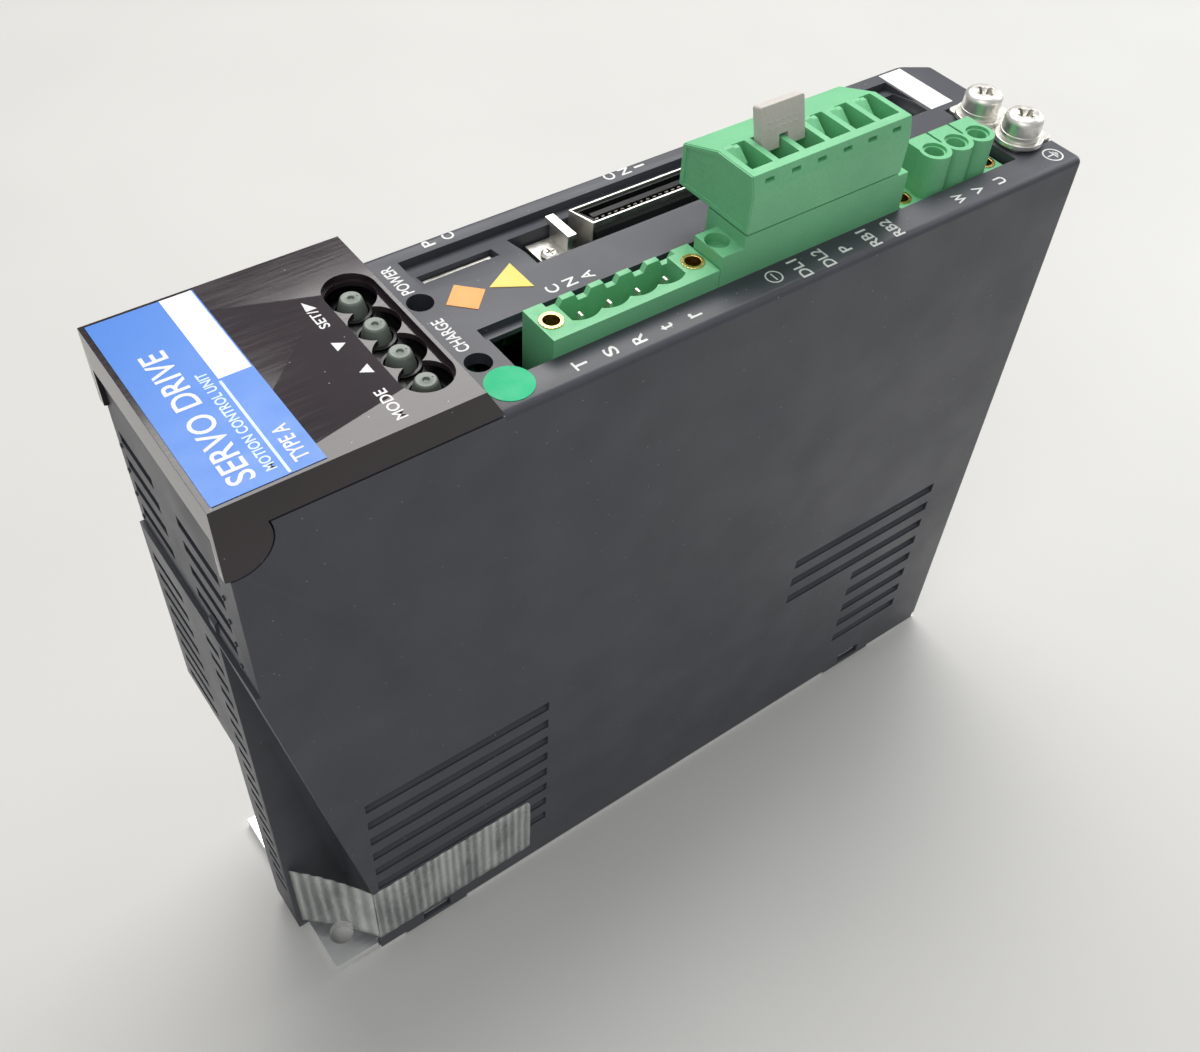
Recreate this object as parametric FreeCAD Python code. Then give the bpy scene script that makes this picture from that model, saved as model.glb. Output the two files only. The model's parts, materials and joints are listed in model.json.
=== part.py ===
import FreeCAD, Part
import os

# Compact 40 x 160 mm servo drive, lying on its mounting plate.
# +X runs from the operator end to the earth end, +Z out of the front face,
# and the origin is at the centre of the back of the mounting plate.

V = FreeCAD.Vector

# ---------------------------------------------------------------- driving dimensions (mm)
LENGTH = 160.0
WIDTH = 40.0
PANEL_Z = 128.0          # front face
COVER_TOP = 133.5        # face of the operator cover
WALL = 1.6               # moulded walls
PANEL_T = 2.0            # front wall
PLATE_T = 2.4            # aluminium mounting plate
CASE_BOTTOM = 2.6
PITCH = 5.08             # power terminals
FINE_PITCH = 1.27        # signal contacts
BOARD_T = 1.6
GAP = 0.3                # between pieces that only lie beside each other

X0 = -LENGTH / 2
X1 = LENGTH / 2
Y0 = -WIDTH / 2
Y1 = WIDTH / 2
OVER = 0.1               # how far a cutter runs past a face

# operator end
COVER_END = -38.7        # foot of the cover's sloping end
COVER_TOP_END = -41.5    # top edge of that slope
COVER_T = 2.0
SEAT_Z = 127.8           # case side walls under the cover
SKIRT_Z = 128.1          # lower edge of the cover's side walls
HINGE_X = -78.2
HINGE_Z = 126.0
EAR_R = 5.5
EAR_GAP = 0.25
EAR_T = 1.6
CHEEK_T = 1.75           # case wall behind an ear
BOSS_R = 1.35            # round a hinge pin
PIN_R = 0.65
PIN_PLAY = 0.06
DECK_Z = 120.0           # floor of the operator bay
BAND_X = -79.3           # upper, set-back band of the operator end face
BAND_Z = 95.5            # ledge between the two bands

# push buttons
BUTTON_X = -46.1
BUTTON_Y = [7.9, 1.15, -5.6, -12.35]
BUTTON_NAMES = ["button_enter", "button_down", "button_up", "button_mode"]
BUTTON_TOP = 132.3
BUTTON_TOP_R = 1.55
BUTTON_BASE_R = 2.2
BEZEL_Z = 129.6
BEZEL_T = 1.2
BEZEL_RIM = 0.5

# notches at the ends that give a screwdriver room
NOTCH_Y = -8.0           # near notch reaches this far across
NOTCH_X = -68.6
NOTCH_KNEE_Z = 24.2
FAR_NOTCH_X = -66.0
FAR_NOTCH_Y = 1.6
FAR_NOTCH_Z = 56.0
EARTH_NOTCH_X = 67.0
EARTH_NOTCH_Y = 8.0
FIXING_R = 2.3           # clearance for an M4 screw
FIXING_HOLES = [(-73.8, -13.5), (-73.8, 13.5), (73.0, 13.5)]

# power terminals, all along one line
ROW_Y = -10.2
ROW_NEAR = -14.0
ROW_FAR = -6.2
MAINS_X = -12.0
MAINS_POLES = 4
BUS_X = 22.9
BUS_POLES = 6
MOTOR_X = 55.7
MOTOR_POLES = 3
HEADER_Z0 = 117.0
MAINS_TOP = 131.2
BUS_TOP = 135.4
BUS_BLOCK_TOP = 133.4
MOTOR_FLANGE_TOP = 126.4
MOTOR_TOP = 134.0

# signal connectors
IO_Y = 11.0
IO_X = 13.4
IO_COLUMNS = 25
ENCODER_X = 51.9
ENCODER_COLUMNS = 7
SIGNAL_TOP = 128.6
FRONT_BOARD_Z = 119.4

# earth terminals
EARTH_SCREWS = [(73.0, -1.4), (73.6, -10.2)]
EARTH_PLATE_Z = 127.0
EARTH_PLATE_T = 1.5
M4_R = 2.0

POWER_BOARD_Y = -4.8
CONTROL_BOARD_Y = 12.0


# ---------------------------------------------------------------- helpers
def box(x0, x1, y0, y1, z0, z1):
    return Part.makeBox(x1 - x0, y1 - y0, z1 - z0, V(x0, y0, z0))


def disc(x, y, z0, z1, radius):
    return Part.makeCylinder(radius, z1 - z0, V(x, y, z0))


def taper(x, y, z0, z1, r0, r1):
    return Part.makeCone(r0, r1, z1 - z0, V(x, y, z0))


def rod_y(x, z, y0, y1, radius):
    return Part.makeCylinder(radius, y1 - y0, V(x, y0, z), V(0, 1, 0))


def rod_x(y, z, x0, x1, radius):
    return Part.makeCylinder(radius, x1 - x0, V(x0, y, z), V(1, 0, 0))


def prism(axis, points, start, end):
    """Extrude a closed outline along an axis: x takes (y, z), y takes (x, z), z takes (x, y)."""
    if axis == "x":
        corners = [V(start, a, b) for a, b in points]
        step = V(end - start, 0, 0)
    elif axis == "y":
        corners = [V(a, start, b) for a, b in points]
        step = V(0, end - start, 0)
    else:
        corners = [V(a, b, start) for a, b in points]
        step = V(0, 0, end - start)
    return Part.Face(Part.makePolygon(corners + corners[:1])).extrude(step)


def stadium(x, y0, y1, z0, z1, radius):
    """A slot along Y whose round ends are centred on y0 and y1."""
    ends = [disc(x, y0, z0, z1, radius), disc(x, y1, z0, z1, radius)]
    return join([box(x - radius, x + radius, y0, y1, z0, z1)] + ends)


def join(shapes):
    return shapes[0].multiFuse(shapes[1:]).removeSplitter() if len(shapes) > 1 else shapes[0]


def cut_each(shape, cutters):
    for cutter in cutters:
        shape = shape.cut(cutter)
    return shape


def group(shapes):
    return Part.makeCompound(shapes)


def round_edges(shape, radius, wanted):
    edges = [edge for edge in shape.Edges if wanted(edge.BoundBox)]
    return shape.makeFillet(radius, edges)


def row(centre, count, pitch):
    return [centre + pitch * (index - (count - 1) / 2.0) for index in range(count)]


def save(name, shape):
    if not shape.isValid():
        raise ValueError(name + " is not a valid shape")
    shape.exportStep("parts/" + name + ".step")


# ---------------------------------------------------------------- moulded case
VENT_TOP_Z = 52.6
VENT_PITCH = 5.5
VENT_COUNT = 8
VENT_HEIGHT = 2.5
END_SLOT_HEIGHT = 2.2
TAB_BOTTOM = 0.3
SKIRT_T = 1.2            # thinner lower edge of the near wall
SKIRT_BOTTOM = 1.0
LIP_T = 0.8              # edge of the plate that shows below the near wall
TABS = [(-62.9, -49.2), (49.4, 63.4)]
TAB_WINDOW = (1.3, 4.1)
RAMP_FAR = 16.5
RAMP_NEAR = 8.6
RAMP_DEPTH = 1.5
CHAMFER_X = 72.5
CHAMFER_Y = 15.5
SIDE_X0 = -77.6
SIDE_X1 = 70.8
SIDE_TOP = 117.4
LED_X = -36.0
LED_Y = [6.6, -9.0]
LED_HOLE_R = 2.05


def near_notch(grow):
    knee = NOTCH_X + grow
    outline = [(X0 - OVER, BAND_Z + grow * 3), (knee, NOTCH_KNEE_Z), (knee, -1.0), (X0 - OVER, -1.0)]
    return prism("y", outline, Y0 - OVER, NOTCH_Y + grow)


def far_notch(grow):
    return box(X0 - OVER, FAR_NOTCH_X + grow, FAR_NOTCH_Y - grow, Y1 + OVER, -1.0, FAR_NOTCH_Z + grow)


def earth_notch(grow):
    return box(EARTH_NOTCH_X - grow, X1 + OVER, EARTH_NOTCH_Y - grow, Y1 + OVER, -1.0, FAR_NOTCH_Z + grow)


def chamfer_corner(grow):
    shift = grow * 1.8
    outline = [(CHAMFER_X - shift, Y1 + OVER), (X1 + OVER, CHAMFER_Y - shift), (X1 + OVER, Y1 + OVER)]
    return prism("z", outline, -1.0, PANEL_Z + 1.0)


def vent_rows(y0, y1):
    """Louvre slots low on a side wall: eight on the left, three long and five short on the right."""
    slots = []
    for index in range(VENT_COUNT):
        z1 = VENT_TOP_Z - VENT_PITCH * index + VENT_HEIGHT / 2
        right_start = 29.4 if index < 3 else 49.0
        slots.append(box(-67.2, -30.0, y0, y1, z1 - VENT_HEIGHT, z1))
        slots.append(box(right_start, 68.4, y0, y1, z1 - VENT_HEIGHT, z1))
    return slots


def end_slots(x0, x1):
    """Ventilation slots in an end face: two wide columns above the ledge, two below it."""
    half = END_SLOT_HEIGHT / 2
    slots = []
    for index in range(4):
        z = 115.0 - 5.0 * index
        slots.append(box(x0, x1, -14.4, -1.4, z - half, z + half))
        slots.append(box(x0, x1, 6.6, 18.0, z - half, z + half))
    for index in range(8):
        z = 89.9 - 4.4 * index
        slots.append(box(x0, x1, 6.6, 17.6, z - half * 0.8, z + half * 0.8))
    for index in range(18):
        z = 89.9 - 4.4 * index
        slots.append(box(x0, x1, -6.0, -1.6, z - half * 0.8, z + half * 0.8))
    return slots


def earth_end_slots(x0, x1):
    half = END_SLOT_HEIGHT / 2
    slots = []
    for index in range(9):
        z = 110.0 - 5.2 * index
        slots.append(box(x0, x1, -15.0, -3.0, z - half, z + half))
        slots.append(box(x0, x1, 1.0, 12.0, z - half, z + half))
    for index in range(8):
        z = 56.0 - 5.2 * index
        slots.append(box(x0, x1, -15.0, -3.0, z - half, z + half))
    return slots


def panel_openings():
    """Everything that goes through or into the front face."""
    ramp = [(RAMP_FAR, PANEL_Z + OVER), (RAMP_FAR, PANEL_Z - RAMP_DEPTH), (RAMP_NEAR, PANEL_Z),
            (RAMP_NEAR, PANEL_Z + OVER)]
    cutters = [
        prism("x", ramp, -34.0, 67.8),
        box(-33.0, -19.8, 10.5, 13.0, 120.0, PANEL_Z + OVER),            # service port
        box(-16.4, 37.4, 5.4, 13.8, 120.0, PANEL_Z + OVER),              # input and output connector
        box(38.8, 67.4, 5.4, 13.8, 120.0, PANEL_Z + OVER),               # encoder connector
        box(-32.5, 69.0, ROW_NEAR, -3.0, PANEL_Z - 1.2, PANEL_Z + OVER),  # step round the power row
        box(-31.4, 69.0, ROW_NEAR, -4.5, 120.0, PANEL_Z + OVER),         # power row
        box(70.0, X1 + OVER, -13.2, 3.8, EARTH_PLATE_Z, PANEL_Z + OVER),  # earth plate seat
    ]
    for y in LED_Y:
        cutters.append(disc(LED_X, y, 120.0, PANEL_Z + OVER, LED_HOLE_R))
    return cutters


def ear_side(sign):
    """Lower and upper Y of a slab that lies on one side of the case, from its outer face inward."""
    def span(outer, inner):
        return (-outer, -inner) if sign < 0 else (inner, outer)
    return span


def case_blank():
    low = box(X0, COVER_END, Y0, Y1, CASE_BOTTOM, SEAT_Z)
    high = box(COVER_END, X1, Y0, Y1, CASE_BOTTOM, PANEL_Z)
    high = round_edges(high, 1.3, lambda b: b.XLength > 10 and b.ZMin > PANEL_Z - 1)
    high = round_edges(high, 1.3, lambda b: b.ZLength > 10 and b.XMin > X1 - 1 and b.YMax < 0)
    return join([low, high])


def main_case():
    inner = box(X0 + 2.3, X1 - WALL, Y0 + WALL, Y1 - WALL, -1.0, DECK_Z - WALL)
    front = box(COVER_END + 1.5, X1 - WALL, Y0 + WALL, Y1 - WALL, 100.0, PANEL_Z - PANEL_T)
    cavity = join([inner, front])
    grown = [near_notch(WALL), far_notch(WALL), earth_notch(WALL), chamfer_corner(WALL)]
    thick_front = box(COVER_END, 72.0, 7.0, Y1, PANEL_Z - 4.0, PANEL_Z)
    earth_block = box(69.4, X1, -14.6, 5.0, 119.0, PANEL_Z)
    cavity = cut_each(cavity, grown + [thick_front, earth_block])
    bay = box(X0 + 2.3, COVER_END - 1.7, Y0 + WALL + CHEEK_T, Y1 - WALL - CHEEK_T, DECK_Z, PANEL_Z + 1.0)
    bay_rear = box(-70.0, COVER_END - 1.7, Y0 + WALL, Y1 - WALL, DECK_Z, PANEL_Z + 1.0)
    side_window = box(SIDE_X0 - OVER, SIDE_X1 + OVER, 0.0, Y1 + OVER, CASE_BOTTOM - 1.0, SIDE_TOP + OVER)
    side_window = cut_each(side_window, [far_notch(WALL)])
    side_window = side_window.cut(box(SIDE_X0, SIDE_X1 + 1.0, -1.0, Y1 - WALL, -1.0, SIDE_TOP + 1.0))
    cutters = [cavity, bay, bay_rear, side_window]
    cutters += [near_notch(0.0), far_notch(0.0), earth_notch(0.0), chamfer_corner(0.0)]
    cutters.append(box(X0 - OVER, BAND_X, Y0 - OVER, Y1 + OVER, BAND_Z, PANEL_Z))
    cutters += panel_openings()
    cutters += vent_rows(Y0 - OVER, Y0 + WALL + OVER)
    cutters += end_slots(X0 - OVER, X0 + 2.4)
    cutters += earth_end_slots(X1 - WALL - OVER, X1 + OVER)
    case = cut_each(case_blank(), cutters)
    case = cut_each(case, hinge_clearances())
    skirt = box(NOTCH_X, X1 - WALL, Y0, Y0 + SKIRT_T, SKIRT_BOTTOM, CASE_BOTTOM + 1.0)
    case = join([case, skirt] + hinge_bosses() + snap_tabs(Y0, Y0 + WALL) + earth_bosses())
    holes = tab_windows(Y0, Y0 + WALL) + [rod_y(HINGE_X, HINGE_Z, Y0 - OVER, Y1 + OVER, PIN_R)]
    for x, y in EARTH_SCREWS:
        holes.append(disc(x, y, 112.0, PANEL_Z + OVER, M4_R))
    return cut_each(case, holes)


def hinge_clearances():
    """Room for the ears, and for the cover's end wall as it swings down outside the case."""
    cutters = []
    for sign in (-1, 1):
        span = ear_side(sign)
        y0, y1 = span(Y1 + OVER, Y1 - WALL - 0.15)
        cutters.append(rod_y(HINGE_X, HINGE_Z, y0, y1, EAR_R + EAR_GAP))
        y0, y1 = span(Y1 - WALL - 0.15, Y1 - WALL - CHEEK_T - OVER)
        cutters.append(box(X0 - OVER, HINGE_X + 1.7, y0, y1, HINGE_Z - 1.1, PANEL_Z))
    cutters.append(box(X0 - OVER, X0 + 2.4, Y0 - OVER, Y1 + OVER, HINGE_Z + 0.3, PANEL_Z))
    return cutters


def hinge_bosses():
    bosses = []
    for sign in (-1, 1):
        y0, y1 = ear_side(sign)(Y1 - WALL - 0.15, Y1 - WALL - CHEEK_T)
        bosses.append(rod_y(HINGE_X, HINGE_Z, y0, y1, BOSS_R))
    return bosses


def snap_tabs(y0, y1):
    """Tabs along the lower edge of a long side."""
    return [box(x0, x1, y0, y1, TAB_BOTTOM, CASE_BOTTOM + 1.0) for x0, x1 in TABS]


def tab_windows(y0, y1):
    """Windows in the tabs that catch the hooks of the mounting plate."""
    return [box(x0 + 4.0, x1 - 3.6, y0 - OVER, y1 + OVER, TAB_WINDOW[0], TAB_WINDOW[1]) for x0, x1 in TABS]


def earth_bosses():
    return [disc(x, y, 113.0, 119.6, M4_R + 1.8) for x, y in EARTH_SCREWS]


def side_cover():
    """Flat cover that closes the far side, let into the case."""
    panel = box(SIDE_X0, SIDE_X1, Y1 - WALL, Y1, CASE_BOTTOM, SIDE_TOP)
    cutters = [far_notch(WALL + OVER), earth_notch(WALL + OVER)]
    cutters += vent_rows(Y1 - WALL - OVER, Y1 + OVER)
    panel = cut_each(panel, cutters)
    return cut_each(join([panel] + snap_tabs(Y1 - WALL, Y1)), tab_windows(Y1 - WALL, Y1))


# ---------------------------------------------------------------- operator cover and its parts
def operator_cover():
    outline = [(X0, SKIRT_Z), (X0, COVER_TOP), (COVER_TOP_END, COVER_TOP), (COVER_END, SKIRT_Z)]
    body = prism("y", outline, Y0, Y1)
    hollow = [(X0 + 1.4, SKIRT_Z - 1), (X0 + 1.4, COVER_TOP - COVER_T),
              (COVER_TOP_END - 0.6, COVER_TOP - COVER_T), (COVER_END - 1.4, SKIRT_Z - 1)]
    body = body.cut(prism("y", hollow, Y0 + WALL, Y1 - WALL))
    lip = box(X0, X0 + 1.4, Y0, Y1, HINGE_Z + 1.4, SKIRT_Z)
    ears = []
    for sign in (-1, 1):
        y0, y1 = ear_side(sign)(Y1, Y1 - EAR_T)
        ear = rod_y(HINGE_X, HINGE_Z, y0, y1, EAR_R)
        ear = ear.common(box(X0, HINGE_X + EAR_R, Y0, Y1, HINGE_Z - EAR_R, SKIRT_Z + 1.0))
        neck = box(X0, HINGE_X + EAR_R - GAP, y0, y1, HINGE_Z, SKIRT_Z)
        ears.append(join([ear, neck]))
    body = join([body, lip] + ears)
    window_y = (BUTTON_Y[-1], BUTTON_Y[0])
    cutters = [stadium(BUTTON_X, window_y[0], window_y[1], COVER_TOP - 1.1, COVER_TOP + OVER, 3.95)]
    for y in BUTTON_Y:
        cutters.append(disc(BUTTON_X, y, COVER_TOP - 3.0, COVER_TOP, 3.65))
    for sign in (-1, 1):
        y0, y1 = ear_side(sign)(Y1 - 0.6, Y1 - EAR_T - OVER)
        cutters.append(rod_y(HINGE_X, HINGE_Z, y0, y1, PIN_R + PIN_PLAY))
    return cut_each(body, cutters)


def hinge_pins():
    pins = []
    for sign in (-1, 1):
        y0, y1 = ear_side(sign)(Y1 - 0.75, Y1 - WALL - CHEEK_T)
        pins.append(rod_y(HINGE_X, HINGE_Z, y0, y1, PIN_R))
    return group(pins)


OPERATOR_BOARD_Z = 121.0
SWITCH_TOP = 127.2


def operator_board():
    top = OPERATOR_BOARD_Z + BOARD_T
    board = box(-74.0, -41.2, -16.0, 16.0, OPERATOR_BOARD_Z, top)
    feet = [disc(x, y, DECK_Z, OPERATOR_BOARD_Z, 1.8) for x in (-71.0, -44.0) for y in (-14.0, 14.0)]
    return join([board] + feet)


def display_module():
    """Five-digit numeric display that shows through the dark cover."""
    base = OPERATOR_BOARD_Z + BOARD_T
    body = box(-64.5, -54.5, -15.6, 15.6, base, 130.4)
    digits = [box(-63.0, -56.0, y - 2.4, y + 2.4, 130.0, 130.5) for y in row(0.0, 5, 6.1)]
    return cut_each(body, digits)


def button_switches():
    base = OPERATOR_BOARD_Z + BOARD_T
    switches = []
    for y in BUTTON_Y:
        body = box(BUTTON_X - 2.9, BUTTON_X + 2.9, y - 2.9, y + 2.9, base, SWITCH_TOP - 0.5)
        switches.append(join([body, disc(BUTTON_X, y, SWITCH_TOP - 0.5, SWITCH_TOP, 1.3)]))
    return group(switches)


def button_bezel():
    """Plate with four guide rings that keeps the button caps in place."""
    base = OPERATOR_BOARD_Z + BOARD_T
    plate = box(BUTTON_X - 4.0, BUTTON_X + 4.2, -15.9, 11.5, BEZEL_Z - BEZEL_T, BEZEL_Z)
    rings = [disc(BUTTON_X, y, BEZEL_Z, BEZEL_Z + BEZEL_RIM, 2.9) for y in BUTTON_Y]
    posts = [box(BUTTON_X - 4.0, BUTTON_X + 4.2, y, y + 0.7, base, BEZEL_Z - BEZEL_T) for y in (-16.0, 11.1)]
    bores = [disc(BUTTON_X, y, base, BEZEL_Z + BEZEL_RIM + OVER, BUTTON_BASE_R + 0.2) for y in BUTTON_Y]
    return cut_each(join([plate] + rings + posts), bores)


def button(y):
    """Push button cap: a retaining flange under the plate and a tapered stem with a dimple."""
    flange_top = BEZEL_Z - BEZEL_T - 0.05
    flange = disc(BUTTON_X, y, flange_top - 0.6, flange_top, 2.9)
    guide = disc(BUTTON_X, y, flange_top - 0.6, BEZEL_Z + BEZEL_RIM, BUTTON_BASE_R)
    stem = taper(BUTTON_X, y, BEZEL_Z + BEZEL_RIM, BUTTON_TOP, BUTTON_BASE_R - 0.1, BUTTON_TOP_R)
    dimple = taper(BUTTON_X, y, BUTTON_TOP - 0.35, BUTTON_TOP + 0.05, 0.2, 0.5)
    return join([flange, guide, stem]).cut(dimple)


def indicator_lights():
    """Two round lamps that stand on the front board below their holes."""
    lamps = []
    for y in LED_Y:
        stem = disc(LED_X, y, FRONT_BOARD_Z + BOARD_T, 123.4, 1.5)
        lamps.append(join([stem, Part.makeSphere(1.5, V(LED_X, y, 123.4))]))
    return group(lamps)


# ---------------------------------------------------------------- power terminals
INSERT_R = 1.85
INSERT_HOLE_R = 1.25
INSERT_LENGTH = 5.5
FLANGE_WALL = 0.3        # plastic left outside a threaded insert
PIN_HALF = 0.5
HEADER_FLOOR = 121.0
SCALLOP_R = 4.0          # hollow in the near wall behind each pin


def mains_header():
    """Four-way header: keyways in the far wall, a shallow hollow for each way in the near wall."""
    half = (MAINS_POLES + 1) * PITCH / 2 + INSERT_R + FLANGE_WALL
    body = box(MAINS_X - half, MAINS_X + half, ROW_NEAR, ROW_FAR, HEADER_Z0, MAINS_TOP)
    inside = MAINS_POLES * PITCH / 2
    far_y = ROW_FAR - 1.0
    cutters = [box(MAINS_X - inside, MAINS_X + inside, ROW_NEAR + 2.3, far_y, HEADER_FLOOR, MAINS_TOP + OVER)]
    for x in row(MAINS_X, MAINS_POLES, PITCH):
        hollow = disc(x, ROW_NEAR + 1.4 + SCALLOP_R, HEADER_FLOOR, MAINS_TOP + OVER, SCALLOP_R)
        way = box(x - PITCH / 2, x + PITCH / 2, ROW_NEAR, far_y, HEADER_FLOOR, MAINS_TOP + OVER)
        cutters.append(hollow.common(way))
    for x in row(MAINS_X, MAINS_POLES + 1, PITCH):
        keyway = [(x - 1.5, MAINS_TOP + OVER), (x - 0.8, MAINS_TOP - 1.2), (x + 0.8, MAINS_TOP - 1.2),
                  (x + 1.5, MAINS_TOP + OVER)]
        cutters.append(prism("y", keyway, ROW_FAR - 1.1, ROW_FAR + OVER))
    for x in flange_places(MAINS_X, MAINS_POLES):
        cutters.append(disc(x, ROW_Y, MAINS_TOP - INSERT_LENGTH, MAINS_TOP + OVER, INSERT_R))
    return cut_each(body, cutters + pin_holes(MAINS_X, MAINS_POLES))


def flange_places(centre, poles):
    reach = (poles + 1) * PITCH / 2
    return [centre - reach, centre + reach]


def pin_holes(centre, poles):
    return [box(x - PIN_HALF, x + PIN_HALF, ROW_Y - PIN_HALF, ROW_Y + PIN_HALF, HEADER_Z0 - OVER, 122.0)
            for x in row(centre, poles, PITCH)]


def pins(centre, poles, top):
    """Square contact pins with a bevelled tip and a tail bent back to the power board."""
    result = []
    for x in row(centre, poles, PITCH):
        tip = [(x - PIN_HALF, top - 1.0), (x - 0.2, top), (x + 0.2, top), (x + PIN_HALF, top - 1.0)]
        shaft = box(x - PIN_HALF, x + PIN_HALF, ROW_Y - PIN_HALF, ROW_Y + PIN_HALF, 115.6, top - 1.0)
        point = prism("y", tip, ROW_Y - PIN_HALF, ROW_Y + PIN_HALF)
        tail = box(x - PIN_HALF, x + PIN_HALF, ROW_Y, POWER_BOARD_Y, 114.6, 115.6)
        result.append(join([shaft, point, tail]))
    return group(result)


def inserts(centre, poles, top):
    """Brass threaded inserts for the plug's fixing screws."""
    result = []
    for x in flange_places(centre, poles):
        bush = disc(x, ROW_Y, top - INSERT_LENGTH, top + 0.15, INSERT_R)
        result.append(bush.cut(disc(x, ROW_Y, top - INSERT_LENGTH - 1.0, top + 1.0, INSERT_HOLE_R)))
    return group(result)


BUS_FAR = -5.0
BUS_HALF = BUS_POLES * PITCH / 2 + 0.5
BLOCK_X0 = MAINS_X + 15.0


def bus_header():
    body = box(BUS_X - BUS_HALF, BUS_X + BUS_HALF, ROW_NEAR, BUS_FAR, HEADER_Z0, BUS_TOP)
    block = box(BLOCK_X0, BUS_X - BUS_HALF, ROW_NEAR, ROW_FAR - 1.2, HEADER_Z0, BUS_BLOCK_TOP)
    lug = box(BUS_X + BUS_HALF, BUS_X + BUS_HALF + 2.2, ROW_NEAR, BUS_FAR, HEADER_Z0, BUS_TOP - 0.4)
    inside = BUS_POLES * PITCH / 2 - 0.5
    well = box(BUS_X - inside, BUS_X + inside, ROW_NEAR + 1.2, BUS_FAR - 1.2, 122.0, BUS_TOP + OVER)
    flange_x = (BLOCK_X0 + BUS_X - BUS_HALF) / 2
    screw_well = disc(flange_x, ROW_Y, BUS_BLOCK_TOP - 1.8, BUS_BLOCK_TOP + OVER, 1.9)
    return cut_each(join([body, block, lug]), [well, screw_well] + pin_holes(BUS_X, BUS_POLES))


PLUG_BOTTOM = 135.7
PLUG_TOP = 145.3
PLUG_FAR = 1.7
PLUG_PLAY = 0.3
CELL_FLOOR = 140.0
CELL_FAR = -5.4
CELL_NEAR = -12.0
PRONG_Y = -8.4
LEAN = -15.0             # bridge bar and clamps lean away from the terminal row, in degrees


def lean(shape):
    """Turn something built upright over to the far side, about the floor of the wire entries."""
    return shape.rotate(V(0, PRONG_Y, CELL_FLOOR), V(1, 0, 0), LEAN)


def prong_slot(x, half_x, half_y, z0, z1):
    return lean(box(x - half_x, x + half_x, PRONG_Y - half_y, PRONG_Y + half_y, z0, z1))


def bus_plug():
    """Six-way spring plug: funnel-shaped wire entries and a row of release slots along the near lip."""
    x0 = BUS_X - BUS_HALF
    x1 = BUS_X + BUS_HALF
    outline = [(-14.1, PLUG_BOTTOM), (PLUG_FAR, PLUG_BOTTOM), (PLUG_FAR, PLUG_TOP - 2.6),
               (CELL_FAR - 0.3, PLUG_TOP), (-13.6, PLUG_TOP), (-14.3, PLUG_TOP - 3.1)]
    body = prism("x", outline, x0, x1)
    inside = BUS_POLES * PITCH / 2 - 0.5 - PLUG_PLAY
    tongue = box(BUS_X - inside, BUS_X + inside, ROW_NEAR + 1.2 + PLUG_PLAY, BUS_FAR - 1.2 - PLUG_PLAY,
                 124.0, PLUG_BOTTOM)
    cutters = []
    for x in row(BUS_X, BUS_POLES, PITCH):
        cutters.append(wire_cell(x))
        cutters.append(prong_slot(x, 1.0, 0.9, 133.6, CELL_FLOOR + 0.4))
        cutters.append(box(x - 0.75, x + 0.75, ROW_Y - 0.75, ROW_Y + 0.75, 123.0, 133.0))
        cutters.append(box(x - 0.9, x + 0.9, -15.0, -13.2, PLUG_TOP - 1.7, PLUG_TOP - 1.0))
    return cut_each(join([body, tongue]), cutters)


def wire_cell(x):
    """One funnel: open on top, with a ramp from the far side down to the contact."""
    half = PITCH / 2 - 0.55
    open_top = PLUG_TOP + 1.0
    ramp = [(CELL_FAR, open_top), (CELL_FAR, PLUG_TOP - 1.2), (-7.4, CELL_FLOOR), (CELL_NEAR, CELL_FLOOR),
            (CELL_NEAR, open_top)]
    return prism("x", ramp, x - half, x + half)


def plug_clamps():
    """Box clamps inside the plug, one behind each wire entry."""
    clamps = []
    for x in row(BUS_X, BUS_POLES, PITCH):
        shell = prong_slot(x, 0.95, 0.85, 133.8, 137.9)
        clamps.append(shell.cut(prong_slot(x, 0.6, 0.5, 134.4, 138.2)))
    return group(clamps)


BAR_X = BUS_X - PITCH
BAR_HALF = 4.2
BAR_THICK = 1.9
BAR_BOTTOM = 143.9
BAR_TOP = 150.6
BAR_BRIDGE_Z = 146.6
PRONG_TIP_Z = 134.9
PRONG_X = [BAR_X - PITCH / 2, BAR_X + PITCH / 2]


def short_bar_grip():
    """Moulded grip of the plug-in bridge, with an arch that straddles the wall between two entries."""
    y0 = PRONG_Y - BAR_THICK / 2
    y1 = PRONG_Y + BAR_THICK / 2
    grip = box(BAR_X - BAR_HALF, BAR_X + BAR_HALF, y0, y1, BAR_BOTTOM, BAR_TOP)
    grip = round_edges(grip, 0.4, lambda b: b.YLength > 1 and b.ZMin > BAR_TOP - 1)
    cutters = [box(BAR_X - 0.85, BAR_X + 0.85, y0 - OVER, y1 + OVER, BAR_BOTTOM - OVER, BAR_BOTTOM + 1.9)]
    for x in PRONG_X:
        cutters.append(box(x - 0.5, x + 0.5, PRONG_Y - 0.35, PRONG_Y + 0.35, BAR_BOTTOM - OVER, BAR_BRIDGE_Z))
    cutters.append(box(PRONG_X[0] - 0.5, PRONG_X[1] + 0.5, PRONG_Y - 0.35, PRONG_Y + 0.35,
                       BAR_BRIDGE_Z, BAR_BRIDGE_Z + 1.0))
    return lean(cut_each(grip, cutters))


def short_bar_prongs():
    prongs = [box(x - 0.45, x + 0.45, PRONG_Y - 0.3, PRONG_Y + 0.3, PRONG_TIP_Z, BAR_BRIDGE_Z + 0.95)
              for x in PRONG_X]
    prongs.append(box(PRONG_X[0] - 0.45, PRONG_X[1] + 0.45, PRONG_Y - 0.3, PRONG_Y + 0.3,
                      BAR_BRIDGE_Z + 0.05, BAR_BRIDGE_Z + 0.95))
    return lean(join(prongs))


TOWER_R = 2.45


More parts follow.
